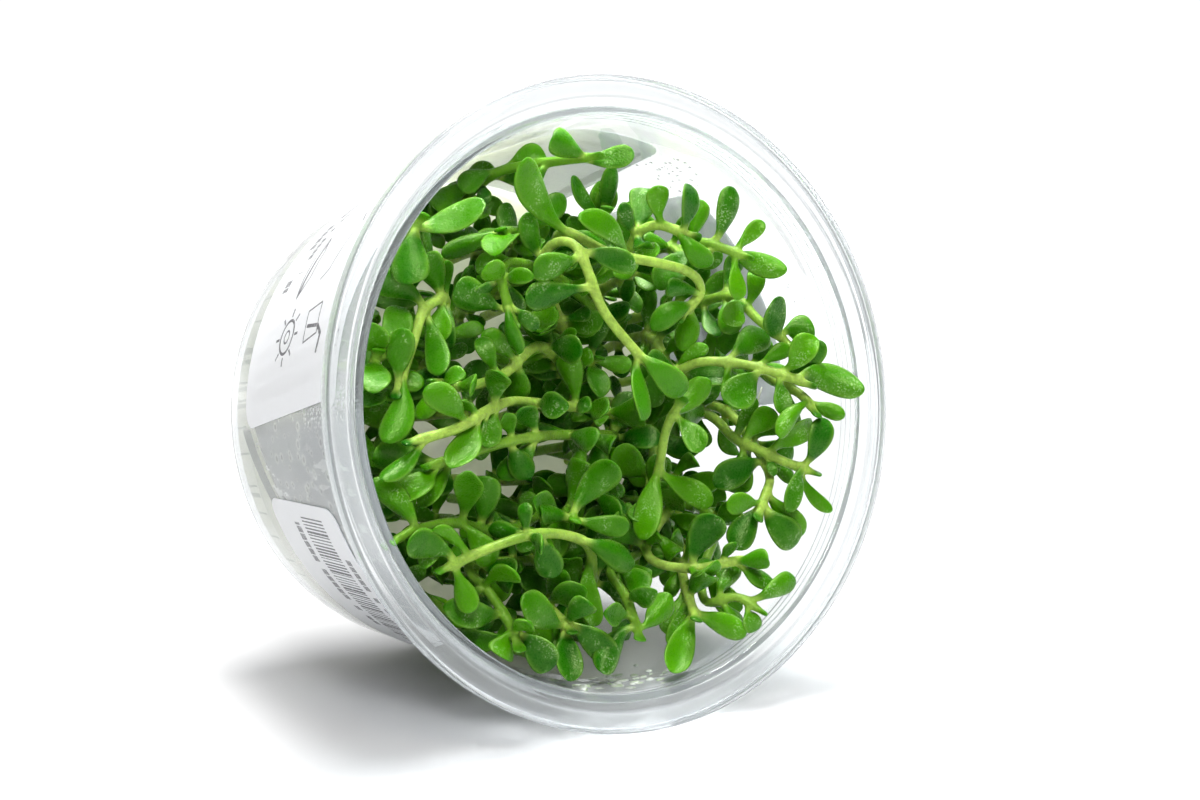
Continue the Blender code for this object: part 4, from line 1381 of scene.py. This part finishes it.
def stem_shifts():
    """How far a stem may be moved to find a free place, the least first."""
    yield 0.0, 0.0
    for reach in (1.5, 2.6, 3.8):
        for k in range(8):
            yield reach * math.cos(k * math.pi / 4), reach * math.sin(k * math.pi / 4)


def lay_out():
    """Place the solids' stems, placed leaves and lower leaves, then what is in the looks alone."""
    chance = random.Random(SEED)
    space = Space()
    sprigs = []
    plans = list(SPRIGS) + [(route, ()) for route in filler_routes(chance)]
    for route, wanted in plans:
        plant(route, wanted, space, sprigs)
    for sprig in sprigs:
        for share, tip, width in sorted(sprig.wanted, reverse=True):
            place_leaf(sprig, space, share * sprig.stem.length, kept_inside(tip, TIP_MARGIN),
                       width, PLACED_TRIES)
    for sprig in sprigs:
        grow_lower_leaves(sprig, space, chance)
    for route in shade_routes():
        plant(route, (), space, sprigs)
    for sprig in sprigs:
        grow_small_leaves(sprig, space, chance)
    return sprigs


def plant(route, wanted, space, sprigs):
    """Put a sprig's stem where it is free, moving it a little where it isn't."""
    for dx, dy in stem_shifts():
        moved = [(x + dx * share, y + dy * share, z) for (x, y, z), share
                 in zip(route, [1.0] * (len(route) - 2) + [0.7, 0.2])]
        sprig = Sprig(f"sprig_{len(sprigs) + 1:02d}", moved, wanted)
        rings = sprig.stem_rings(STEM_CLEARANCE)
        if space.free(rings):
            space.add(rings, sprig.name)
            sprigs.append(sprig)
            return


def grow_pair(sprig, space, along, turned, kind, chance):
    """An opposite pair of leaves; turned says which way round the stem they stand."""
    lengths, leans, widths = kind
    place, tangent, side = sprig.stem.at(along)
    out = side if turned else tangent.cross(side)
    for sign in (1, -1):
        length = chance.uniform(*lengths)
        reach = (out * sign + tangent * chance.uniform(*leans)).normalized() * length
        width = length * chance.uniform(*widths)
        place_leaf(sprig, space, along, place + reach, width, GROWN_TRIES)


def grow_small_leaves(sprig, space, chance):
    """Smaller leaves in the looks alone: second leaves of pairs, and pairs between pairs."""
    length = sprig.stem.length
    alongs = [node for node in sorted(sprig.nodes, reverse=True) if chance.random() < 0.5]
    count = int((length - SMALL_PAIRS_START - 2.0) / SMALL_PAIRS_SPACING)
    alongs += [SMALL_PAIRS_START + SMALL_PAIRS_SPACING * k for k in range(count)]
    for along in alongs:
        height = sprig.stem.at(along)[0].z
        if height <= SMALL_PAIRS_TOP[bool(sprig.wanted)] or along in sprig.nodes:
            grow_pair(sprig, space, along, chance.random() < 0.5, SMALL_PAIRS, chance)


def grow_lower_leaves(sprig, space, chance):
    """Opposite pairs down the stem, each pair turned a quarter from the last."""
    along = min(sprig.nodes) - LOWER_PAIRS_DROP if sprig.nodes else sprig.stem.length - 0.9
    pair = 0
    while along > LOWER_PAIRS_END:
        grow_pair(sprig, space, along, pair % 2, LOWER_PAIRS, chance)
        along -= PAIR_SPACING * chance.uniform(0.85, 1.15)
        pair += 1


# Sprigs: the fine shapes

# Sections of a leaf, as shares of its length: where the leaf's tip is above SEEN_HEIGHT, and below
BLADE_SHARES = (0.07, 0.18, 0.33, 0.50, 0.66, 0.80, 0.91, 1.0)
LOWER_SHARES = (0.10, 0.30, 0.52, 0.74, 0.90, 1.0)
SEEN_HEIGHT = 40.0

# The shape of a leaf: how blunt its outline ends, its tip's half width as a share of the whole,
# how far its edges rise over its middle, and its twist in degrees
BLUNTNESS = 0.42
TIP_WIDTH = 0.13
CUPPINGS = (-0.5, -0.2, 0.1, 0.25, 0.45, 0.7)
TWIST = 24

# Leaves that catch the lamp: their share, their twist, and where their upper faces turn
LIT_SHARE = 0.55
LIT_TWISTS = (14, 40)
LIGHT_WAY = Vector((-0.2, 0.75, 0.65))

# A stem: half the height of a node, its swelling there, the stretch between two rings, how deep
# it stands in the gel, and how much wider it is drawn because the smoothing pulls it in
NODE_HEIGHT = 0.62
NODE_SWELL = 1.07
STEM_STRETCH = 2.4
ROOT_DEPTH = 1.6
SMOOTHING_LOSS = 1.07
STEM_TURNS = [math.pi / 4 * (k + 1) for k in range(8)]

# Young leaf at the end of a stem: share of its length, half its width and half its thickness
BUD = ((0.12, 0.7, 0.65), (0.4, 1.1, 0.5), (0.72, 1.35, 0.42), (1.0, 0.85, 0.3))
BUD_LENGTHS = (1.9, 3.0)


class Blade:
    """The fine form of one leaf: its outline, thickness, cupping and tone."""

    def __init__(self, leaf, settings, chance):
        self.leaf = leaf
        self.middle = mm(settings.middle_thickness) / 2
        self.edge = mm(settings.edge_thickness) / 2
        self.narrow = chance.uniform(0.75, 1.25)
        self.width = leaf.width * chance.uniform(0.76, 0.98)
        self.cup = chance.choice(CUPPINGS) + chance.uniform(-0.1, 0.1)
        self.arch = chance.uniform(-0.14, 0.16) * leaf.length
        self.tone = chance.random()
        self.twist = math.radians(chance.uniform(-TWIST, TWIST))
        if chance.random() < LIT_SHARE:
            turned_up = math.copysign(chance.uniform(*LIT_TWISTS), -leaf.blade.dot(LIGHT_WAY))
            self.twist = math.radians(turned_up)

    def half_width(self, share, root):
        """Half the leaf's width at a share of its length: narrow, then broad and blunt."""
        if share == 1.0:
            return self.width * TIP_WIDTH
        widest = self.narrow / (self.narrow + BLUNTNESS)
        outline = (share / widest) ** self.narrow * ((1 - share) / (1 - widest)) ** BLUNTNESS
        return math.hypot(root * (1 - share) ** 3, self.width / 2 * outline)

    def section(self, share, root):
        """Six corners round the leaf: left, middle and right below, then right to left above."""
        leaf = self.leaf
        grown = min(share / LEAF_TURNED, 1.0)
        across = leaf.across.lerp(leaf.blade, grown).normalized()
        normal = leaf.tangent.lerp(leaf.normal, grown).normalized()
        turn = Matrix.Rotation(self.twist * share, 3, across.cross(normal))
        across, normal = turn @ across, turn @ normal
        here = leaf.place(share) + normal * (self.arch * 4 * share * (1 - share))
        half = self.half_width(share, root)
        blunt = 1 - 0.55 * max(share - 0.8, 0.0) / 0.2
        middle = normal * ((self.middle + 0.12 * (1 - grown)) * blunt)
        edge = normal * ((self.edge + 0.25 * (1 - grown)) * blunt)
        rim = here + normal * (self.cup * half * grown)
        out = across * half
        return [rim - out - edge, here - middle, rim + out - edge,
                rim + out + edge, here + middle, rim - out + edge]


def start_ring(bm, ring):
    """A capped ring of corners to extrude from: gives its corners and its face."""
    verts = bmesh.ops.create_circle(bm, cap_ends=True, segments=len(ring), radius=1.0)["verts"]
    for vert, corner in zip(verts, ring):
        vert.co = corner
    return verts, verts[0].link_faces[0]


def move_corners(verts, ring_from, ring_to):
    """Move extruded corners from one ring to the next: gives which corner each one is."""
    moved = []
    for vert in verts:
        nearest = min(range(len(ring_from)), key=lambda i: (ring_from[i] - vert.co).length_squared)
        vert.co = ring_to[nearest]
        moved.append(nearest)
    return moved


def fill_start(bm):
    """Close the ring that a piece was started from."""
    bmesh.ops.holes_fill(bm, edges=[edge for edge in bm.edges if edge.is_boundary])


def drop_loose_edges(bm):
    loose = [edge for edge in bm.edges if not edge.link_faces]
    bmesh.ops.delete(bm, geom=loose, context="EDGES")


class FineSprig:
    """One sprig's mesh, extruded round its stem; its growth data colours it."""

    def __init__(self, sprig, settings, chance):
        self.sprig = sprig
        self.stem = sprig.stem
        self.root = mm(settings.root_radius)
        self.tip = mm(settings.tip_radius)
        self.tone = chance.random()
        self.bud_length = chance.uniform(*BUD_LENGTHS)
        self.bm = bmesh.new()
        self.growth = self.bm.verts.layers.float_color.new("growth")
        self.grow_stem()
        bases = []
        for node, leaves in sprig.nodes.items():
            for side, leaf in leaves.items():
                bases.append((Blade(leaf, settings, chance), *self.leaf_base(node, side)))
        for blade, ring, faces in bases:
            self.grow_leaf(blade, ring, faces)
        drop_loose_edges(self.bm)

    def ring(self, along, swell=1.0):
        """Eight corners round the stem; corner 2 * k starts its side face k."""
        stem = self.stem
        place, tangent, side = stem.at(along)
        place = place + tangent * max(along - stem.length, 0.0)
        other = tangent.cross(side)
        share = min(along / stem.length, 1.0)
        radius = (self.root + (self.tip - self.root) * share) * swell * SMOOTHING_LOSS
        return [place + (side * math.cos(t) + other * math.sin(t)) * radius for t in STEM_TURNS]

    def carry(self, verts, ring_from, ring_to, colors):
        """Move extruded corners from one ring to the next and give them their growth data."""
        for vert, corner in zip(verts, move_corners(verts, ring_from, ring_to)):
            vert[self.growth] = colors[corner]

    def stations(self):
        """Lengths along the stem with their swelling, a little larger at each node."""
        marks = [(0.0, 1.0)]
        ends = [(node + side * NODE_HEIGHT, NODE_SWELL) for node in sorted(self.sprig.nodes)
                for side in (-1, 1)]
        if self.stem.length - (ends[-1][0] if ends else 0.0) > 0.8:
            ends.append((self.stem.length, 0.95))
        for end, swell in ends:
            start = marks[-1][0]
            count = math.ceil((end - start) / STEM_STRETCH)
            marks += [(start + (end - start) * k / count, 1.0) for k in range(1, count)]
            marks.append((end, swell))
        return marks

    def grow_stem(self):
        bm = self.bm
        ring = [corner - Vector((0, 0, ROOT_DEPTH)) for corner in self.ring(0.0)]
        circle, face = start_ring(bm, ring)
        for vert in circle:
            vert[self.growth] = (0.0, 0.0, self.tone, 0.0)
        for along, swell in self.stations():
            next_ring = self.ring(along, swell)
            face = bmesh.ops.extrude_discrete_faces(bm, faces=[face])["faces"][0]
            color = (0.0, 0.0, self.tone, min(along / self.stem.length, 1.0))
            self.carry(face.verts, ring, next_ring, [color] * 8)
            ring = next_ring
        for share, wide, thick in BUD:
            next_ring = self.bud_ring(share, wide, thick)
            face = bmesh.ops.extrude_discrete_faces(bm, faces=[face])["faces"][0]
            self.carry(face.verts, ring, next_ring, [(share, 0.0, self.tone, 1.0)] * 8)
            ring = next_ring
        fill_start(bm)

    def bud_ring(self, share, wide, thick):
        """A ring of the small young leaf that ends the stem."""
        place, tangent, side = self.stem.at(self.stem.length)
        other = tangent.cross(side)
        bend = (OUTWARD - tangent * OUTWARD.dot(tangent)) * (0.35 * share * share)
        place = place + (tangent + bend) * (share * self.bud_length)
        return [place + side * (math.cos(t) * wide) + other * (math.sin(t) * thick)
                for t in STEM_TURNS]

    def leaf_base(self, node, side):
        """The ring of six corners and the two stem faces that a leaf grows from."""
        low = self.ring(node - NODE_HEIGHT, NODE_SWELL)
        high = self.ring(node + NODE_HEIGHT, NODE_SWELL)
        order = [2 * side, 2 * side + 1, (2 * side + 2) % 8]
        ring = [low[k] for k in order] + [high[k] for k in reversed(order)]
        faces = []
        for a, b in ((0, 1), (1, 2)):
            middle = (ring[a] + ring[b] + ring[5 - a] + ring[5 - b]) / 4
            faces.append(min(self.bm.faces, key=lambda f: (
                f.calc_center_median() - middle).length_squared))
        return ring, faces

    def grow_leaf(self, blade, ring, region):
        """Extrude a leaf from the stem's faces, section by section."""
        bm = self.bm
        root = (ring[0] - ring[2]).length / 2
        shares = BLADE_SHARES if blade.leaf.tip.z > SEEN_HEIGHT else LOWER_SHARES
        for share in shares:
            next_ring = blade.section(share, root)
            grown = bmesh.ops.extrude_face_region(bm, geom=region)["geom"]
            verts = [g for g in grown if isinstance(g, bmesh.types.BMVert)]
            leafy = min(share / 0.3, 1.0)
            colors = [(leafy, leafy * (k not in (1, 4)), blade.tone, float(k > 2))
                      for k in range(6)]
            self.carry(verts, ring, next_ring, colors)
            left = [f for f in region if f.is_valid]
            if left:
                bmesh.ops.delete(bm, geom=left, context="FACES_ONLY")
            region = [g for g in grown if isinstance(g, bmesh.types.BMFace)]
            ring = next_ring


def hyssop_leaf(settings):
    """Fleshy green skin: mottled, finely grained, paler at the margins and yellow on stems, with
    pale specks painted on the upper faces as a grainy sheen.
    """
    paint = Paint("hyssop_leaf_and_stem")
    place = paint.object_place()
    data = paint.add("ShaderNodeAttribute", {"attribute_name": "growth"})
    parts = paint.add("ShaderNodeSeparateColor", {}, {"Color": data.output("Color")})
    leafy, margin, tone = (parts.output(name) for name in ("Red", "Green", "Blue"))
    upper = data.output("Alpha")
    mottle = paint.noise(place, 260.0, 3.0, 0.6)
    grain = paint.noise(place, 3300.0, 2.0, 0.6)
    shade = tone * 0.75 + (mottle - 0.5) * 0.7
    green = paint.mix(shade, tuple(settings.dark_leaf), tuple(settings.light_leaf))
    green = paint.mix((1 - upper) * 0.6, green, tuple(settings.underside))
    green = paint.mix(margin ** 6.0 * 0.35, green, (0.22, 0.42, 0.05))
    streaks = paint.noise(place, 900.0, 2.0)
    stem = paint.mix(paint.ramp(streaks, 0.35, 0.7), tuple(settings.stem),
                     tuple(c * 0.72 for c in settings.stem))
    greener = paint.ramp(tone + (paint.noise(place, 70.0, 2.0) - 0.5) * 0.9, 0.2, 1.0)
    stem = paint.mix(greener * 0.85, stem, (0.10, 0.29, 0.008))
    color = paint.mix(paint.ramp(leafy, 0.05, 0.75), stem, green)
    color = paint.mix(paint.ramp(grain, 0.3, 0.75) * 0.35, color, tuple(settings.dark_leaf))
    # Pale specks painted on the leaves' upper faces as the grainy sheen of the lamp: painted
    # highlight
    painted_sheen = paint.ramp(mottle, 0.50, 0.66) * upper * leafy
    color = paint.mix(paint.ramp(grain, 0.48, 0.38) * painted_sheen * 0.42, color, (0.46, 0.62, 0.32))
    coarse = paint.bump(mottle, 0.0006, 0.35)
    skin = paint.bump(grain, 0.00009, 0.9, coarse)
    flesh = paint.principled(Base_Color=color, Roughness=grain * 0.30 + 0.14, IOR=1.42,
                             Specular_Tint=(0.80, 1.0, 0.42),
                             Subsurface_Weight=0.2, Subsurface_Radius=(0.35, 0.9, 0.10),
                             Subsurface_Scale=0.0012, Normal=skin)
    return paint.finish(flesh)


class HYSSOP_OT_sprigs(bpy.types.Operator):
    """Grow the sprigs, each a stem with its leaves: the solid model's, and those behind them"""
    bl_idname = "hyssop.sprigs"
    bl_label = "Water Hyssop Sprigs"

    def execute(self, context):
        settings = context.scene.hyssop.sprig
        green = hyssop_leaf(settings)
        chance = random.Random(23)
        sprigs = lay_out()
        known = {name for name in frame["nodes"] if name.startswith("sprig_")}
        if not known <= {sprig.name for sprig in sprigs}:
            raise RuntimeError("a sprig of the solid model has no looks")
        for sprig in sprigs:
            fine = FineSprig(sprig, settings, chance)
            stands_for = [sprig.name] if sprig.name in known else ()
            piece = finish_piece(fine.bm, "hyssop_" + sprig.name, green,
                                 stands_for, 180)
            smooth_piece(piece)
        return {"FINISHED"}


# Moisture

CRUMB_SIZES = (0.25, 0.8)
CRUMB_WIDTHS = (0.8, 1.6)
CRUMB_ROUGHNESS = 0.12
THREAD_STEP = 1.2
THREAD_TURNS = [TAU * k / 6 for k in range(6)]


def wall_frame(degrees, height):
    """A matrix on the inner wall whose Z points in towards the axis."""
    place = on_wall(inner_wall(height), degrees, height)
    inward = -Vector((place.x, place.y, 0)).normalized()
    up = Vector((0, 0, 1))
    turn = Matrix((up.cross(inward), up, inward)).transposed().to_4x4()
    return Matrix.Translation(place) @ turn


def water(paint_name):
    """Clear water."""
    paint = Paint(paint_name)
    ripple = paint.noise(paint.object_place(), 1500.0, 1.0)
    drop = paint.principled(Base_Color=(0.98, 0.99, 0.99), Roughness=ripple * 0.02, IOR=1.333,
                            Transmission_Weight=1.0)
    return paint.finish(paint.lets_lamps_through(drop, (0.97, 0.97, 0.97)))


class HYSSOP_OT_dew(bpy.types.Operator):
    """Bead drops of water on the inner wall"""
    bl_idname = "hyssop.dew"
    bl_label = "Dew"

    def execute(self, context):
        share = context.scene.hyssop.moisture.dew_share
        chance = random.Random(7)
        bm = bmesh.new()
        for (degrees, height), (wide, high), count, largest in DEW_PATCHES:
            for _ in range(round(count * share)):
                at = min(height + chance.gauss(0, high / 2), DEW_TOP)
                radius = largest * chance.uniform(0.3, 1.0) ** 2
                flat = Matrix.Diagonal((1.0, chance.uniform(1.0, 1.4), 0.6, 1.0))
                spot = wall_frame(degrees + chance.gauss(0, wide / 2), at)
                bmesh.ops.create_uvsphere(bm, u_segments=8, v_segments=5, radius=radius,
                                          matrix=spot @ flat)
        finish_piece(bm, "dew_drops", water("dew"), (), 180)
        return {"FINISHED"}


def crumb_gel():
    """Moist whitish crumbs with a green cast."""
    paint = Paint("gel_crumbs")
    place = paint.object_place()
    speckle = paint.ramp(paint.noise(place, 700.0, 3.0), 0.4, 0.65)
    color = paint.mix(speckle, (0.74, 0.78, 0.72), (0.40, 0.50, 0.32))
    crumb = paint.principled(Base_Color=color, Roughness=speckle * 0.2 + 0.15,
                             Subsurface_Weight=0.4, Subsurface_Radius=(1.0, 1.0, 0.8),
                             Subsurface_Scale=0.001,
                             Normal=paint.bump(paint.noise(place, 2600.0), 0.0001, 0.5))
    return paint.finish(crumb)


class HYSSOP_OT_crumbs(bpy.types.Operator):
    """Scatter crumbs of gel on the lowest part of the wall"""
    bl_idname = "hyssop.crumbs"
    bl_label = "Gel Crumbs"

    def execute(self, context):
        settings = context.scene.hyssop
        chance = random.Random(19)
        bm = bmesh.new()
        for _ in range(settings.moisture.crumbs):
            height = min(CRUMB_MIDDLE[1] + chance.gauss(0, CRUMB_SPREAD[1]), CRUMB_TOP)
            spot = wall_frame(CRUMB_MIDDLE[0] + chance.gauss(0, CRUMB_SPREAD[0]), height)
            size = chance.uniform(*CRUMB_SIZES)
            wide, long = chance.uniform(*CRUMB_WIDTHS), chance.uniform(*CRUMB_WIDTHS)
            shape = Matrix.Diagonal((wide, long, 0.45, 1))
            turn = Matrix.Rotation(chance.uniform(0, TAU), 4, "Z")
            verts = bmesh.ops.create_icosphere(bm, subdivisions=2, radius=size,
                                               matrix=spot @ turn @ shape)["verts"]
            for vert in verts:
                vert.co += Vector([chance.uniform(-CRUMB_ROUGHNESS, CRUMB_ROUGHNESS) * size
                                   for _ in range(3)])
        finish_piece(bm, "gel_crumbs", crumb_gel(), (), 180)
        return {"FINISHED"}


def root_fibre():
    """Thin pale root, a little darker in places."""
    paint = Paint("root_threads")
    place = paint.object_place()
    stain = paint.ramp(paint.noise(place, 300.0, 3.0), 0.45, 0.7)
    fibre = paint.principled(Base_Color=paint.mix(stain, (0.74, 0.76, 0.62), (0.50, 0.55, 0.36)),
                             Roughness=stain * 0.2 + 0.35, Subsurface_Weight=0.3,
                             Subsurface_Radius=(1.0, 1.0, 0.6), Subsurface_Scale=0.0006)
    return paint.finish(fibre)


class HYSSOP_OT_roots(bpy.types.Operator):
    """Hang thin pale roots between the sprigs"""
    bl_idname = "hyssop.roots"
    bl_label = "Root Threads"

    def execute(self, context):
        radius = mm(context.scene.hyssop.moisture.thread_radius)
        bm = bmesh.new()
        for route in ROOT_THREADS:
            line = Stem(route)
            steps = math.ceil(line.length / THREAD_STEP)
            for k in range(steps + 1):
                place, tangent, side = line.at(line.length * k / steps)
                other = tangent.cross(side)
                thin = radius * (1.0 - 0.5 * k / steps)
                next_ring = [place + (side * math.cos(t) + other * math.sin(t)) * thin
                             for t in THREAD_TURNS]
                if k == 0:
                    _, face = start_ring(bm, next_ring)
                else:
                    face = bmesh.ops.extrude_discrete_faces(bm, faces=[face])["faces"][0]
                    move_corners(face.verts, ring, next_ring)
                ring = next_ring
        fill_start(bm)
        drop_loose_edges(bm)
        finish_piece(bm, "root_threads", root_fibre(), (), 180)
        return {"FINISHED"}


# Stage

# How far the middle of the mouth lies right of and below the picture's middle, at the cup
MOUTH_RIGHT = 4.2 * MM
MOUTH_DOWN = 0.45 * MM

# Lamps: name, where it stands, what it lights, side of its square, power
LAMPS = (
    ("top_lamp", (0.12, 0.06, 1.05), (0.0, 0.0, 0.04), 0.36, 19.0),
    ("front_lamp", (-0.32, -0.84, 1.00), (0.0, 0.0, 0.04), 0.36, 12.0),
)

# The even light grows from the camera's side to the far side, between these shares of the way.
# The floor starts to shine at the first distance from the cup, in metres, and is white at the other.
WORLD_RISE = (0.1, 0.75)
FLOOR_SHINE = (0.16, 0.55)


def studio_floor():
    """Pale paper, very slightly uneven, that shines out to white away from the cup."""
    paint = Paint("studio_floor")
    place = paint.object_place()
    cast = paint.noise(place, 3.0, 2.0)
    away = paint.ramp(paint.vector("LENGTH", place, output="Value"), *FLOOR_SHINE)
    white = paint.mix(cast, (0.58, 0.58, 0.58), (0.56, 0.56, 0.565))
    paper = paint.principled(Base_Color=white, Roughness=cast * 0.1 + 0.6,
                             Emission_Color=paint.mix(away, (0, 0, 0), (0.9, 0.9, 0.9)),
                             Emission_Strength=1.0)
    return paint.finish(paper)


def aim(place, target):
    """The turn of a lamp that looks from its place at a target."""
    return (Vector(target) - Vector(place)).to_track_quat("-Z", "Y").to_euler()


class HYSSOP_OT_stage(bpy.types.Operator):
    """Set the floor, the lamps, the even light and the camera"""
    bl_idname = "hyssop.stage"
    bl_label = "Stage"

    def execute(self, context):
        stage = context.scene.hyssop.stage
        self.lay_floor(stage)
        self.hang_lamps()
        self.light_world(context.scene, stage)
        self.set_camera(context.scene, stage)
        context.scene.view_settings.view_transform = "Standard"
        return {"FINISHED"}

    def lay_floor(self, stage):
        bm = bmesh.new()
        drop = Matrix.Translation((0, 0, -stage.floor_drop))
        bmesh.ops.create_grid(bm, x_segments=1, y_segments=1, size=stage.floor_size / 2,
                              matrix=drop)
        mesh = bpy.data.meshes.new("studio_floor")
        bm.to_mesh(mesh)
        bm.free()
        mesh.materials.append(studio_floor())
        floor = bpy.data.objects.new("studio_floor", mesh)
        bpy.context.collection.objects.link(floor)
        floor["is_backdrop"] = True

    def hang_lamps(self):
        for name, place, target, size, power in LAMPS:
            data = bpy.data.lights.new(name, "AREA")
            data.size = size
            data.energy = power
            lamp = bpy.data.objects.new(name, data)
            lamp.location = place
            lamp.rotation_euler = aim(place, target)
            bpy.context.collection.objects.link(lamp)

    def light_world(self, scene, stage):
        world = bpy.data.worlds.new("studio_light")
        world.use_nodes = True
        tree = world.node_tree
        sky = tree.nodes["Background"]
        sky.inputs["Strength"].default_value = stage.world
        place = tree.nodes.new("ShaderNodeTexCoord")
        split = tree.nodes.new("ShaderNodeSeparateXYZ")
        shade = tree.nodes.new("ShaderNodeMapRange")
        shade.inputs["From Min"].default_value = WORLD_RISE[0]
        shade.inputs["From Max"].default_value = WORLD_RISE[1]
        shade.inputs["To Min"].default_value = stage.room / stage.world
        shade.inputs["To Max"].default_value = 1.0
        shade.interpolation_type = "SMOOTHSTEP"
        tree.links.new(place.outputs["Generated"], split.inputs[0])
        tree.links.new(split.outputs["Y"], shade.inputs["Value"])
        tree.links.new(shade.outputs[0], sky.inputs["Color"])
        scene.world = world

    def set_camera(self, scene, stage):
        """Stand the camera so that the mouth's middle comes where the photograph has it."""
        turn, tilt = stage.turn, stage.tilt
        right = Vector((math.cos(turn), -math.sin(turn), 0))
        ahead = Vector((math.sin(turn) * math.cos(tilt), math.cos(turn) * math.cos(tilt),
                        -math.sin(tilt)))
        up = right.cross(ahead)
        data = bpy.data.cameras.new("camera")
        data.lens = stage.focal_length
        data.clip_start = 0.01
        camera = bpy.data.objects.new("camera", data)
        mouth = POSE @ Vector((0, 0, HEIGHT))
        place = mouth - right * MOUTH_RIGHT + up * MOUTH_DOWN - ahead * stage.distance
        turned_to = Matrix((right, up, -ahead)).transposed().to_4x4()
        camera.matrix_world = Matrix.Translation(place) @ turned_to
        bpy.context.collection.objects.link(camera)
        scene.camera = camera


class HYSSOP_PT_panel(bpy.types.Panel):
    """The pieces of the cup and its plants, in the order they are made"""
    bl_idname = "HYSSOP_PT_panel"
    bl_label = "Water Hyssop Cup"
    bl_space_type = "VIEW_3D"
    bl_region_type = "UI"
    bl_category = "Hyssop"

    def draw(self, context):
        settings = context.scene.hyssop
        for operator, group in PIECES:
            box = self.layout.box()
            box.operator(operator.bl_idname)
            values = getattr(settings, group)
            for name in values.__annotations__:
                box.prop(values, name)


# Each operator with the settings shown under it
PIECES = (
    (HYSSOP_OT_stage, "stage"),
    (HYSSOP_OT_cup, "cup"),
    (HYSSOP_OT_gel, "gel"),
    (HYSSOP_OT_labels, "label"),
    (HYSSOP_OT_sprigs, "sprig"),
    (HYSSOP_OT_dew, "moisture"),
    (HYSSOP_OT_crumbs, "moisture"),
    (HYSSOP_OT_roots, "moisture"),
)

CLASSES = (CupSettings, GelSettings, LabelSettings, SprigSettings, MoistureSettings,
           StageSettings, HyssopSettings, *(operator for operator, _ in PIECES),
           HYSSOP_PT_panel)


def register():
    for cls in CLASSES:
        bpy.utils.register_class(cls)
    bpy.types.Scene.hyssop = PointerProperty(type=HyssopSettings)


def unregister():
    del bpy.types.Scene.hyssop
    for cls in reversed(CLASSES):
        bpy.utils.unregister_class(cls)


def main():
    register()
    for operator, _ in PIECES:
        group, name = operator.bl_idname.split(".")
        getattr(getattr(bpy.ops, group), name)()
    boxes = {"cad": CAD_BOX, "visual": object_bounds()}
    {name: [list(corner) for corner in box] for name, box in boxes.items()}


if __name__ == "__main__":
    main()
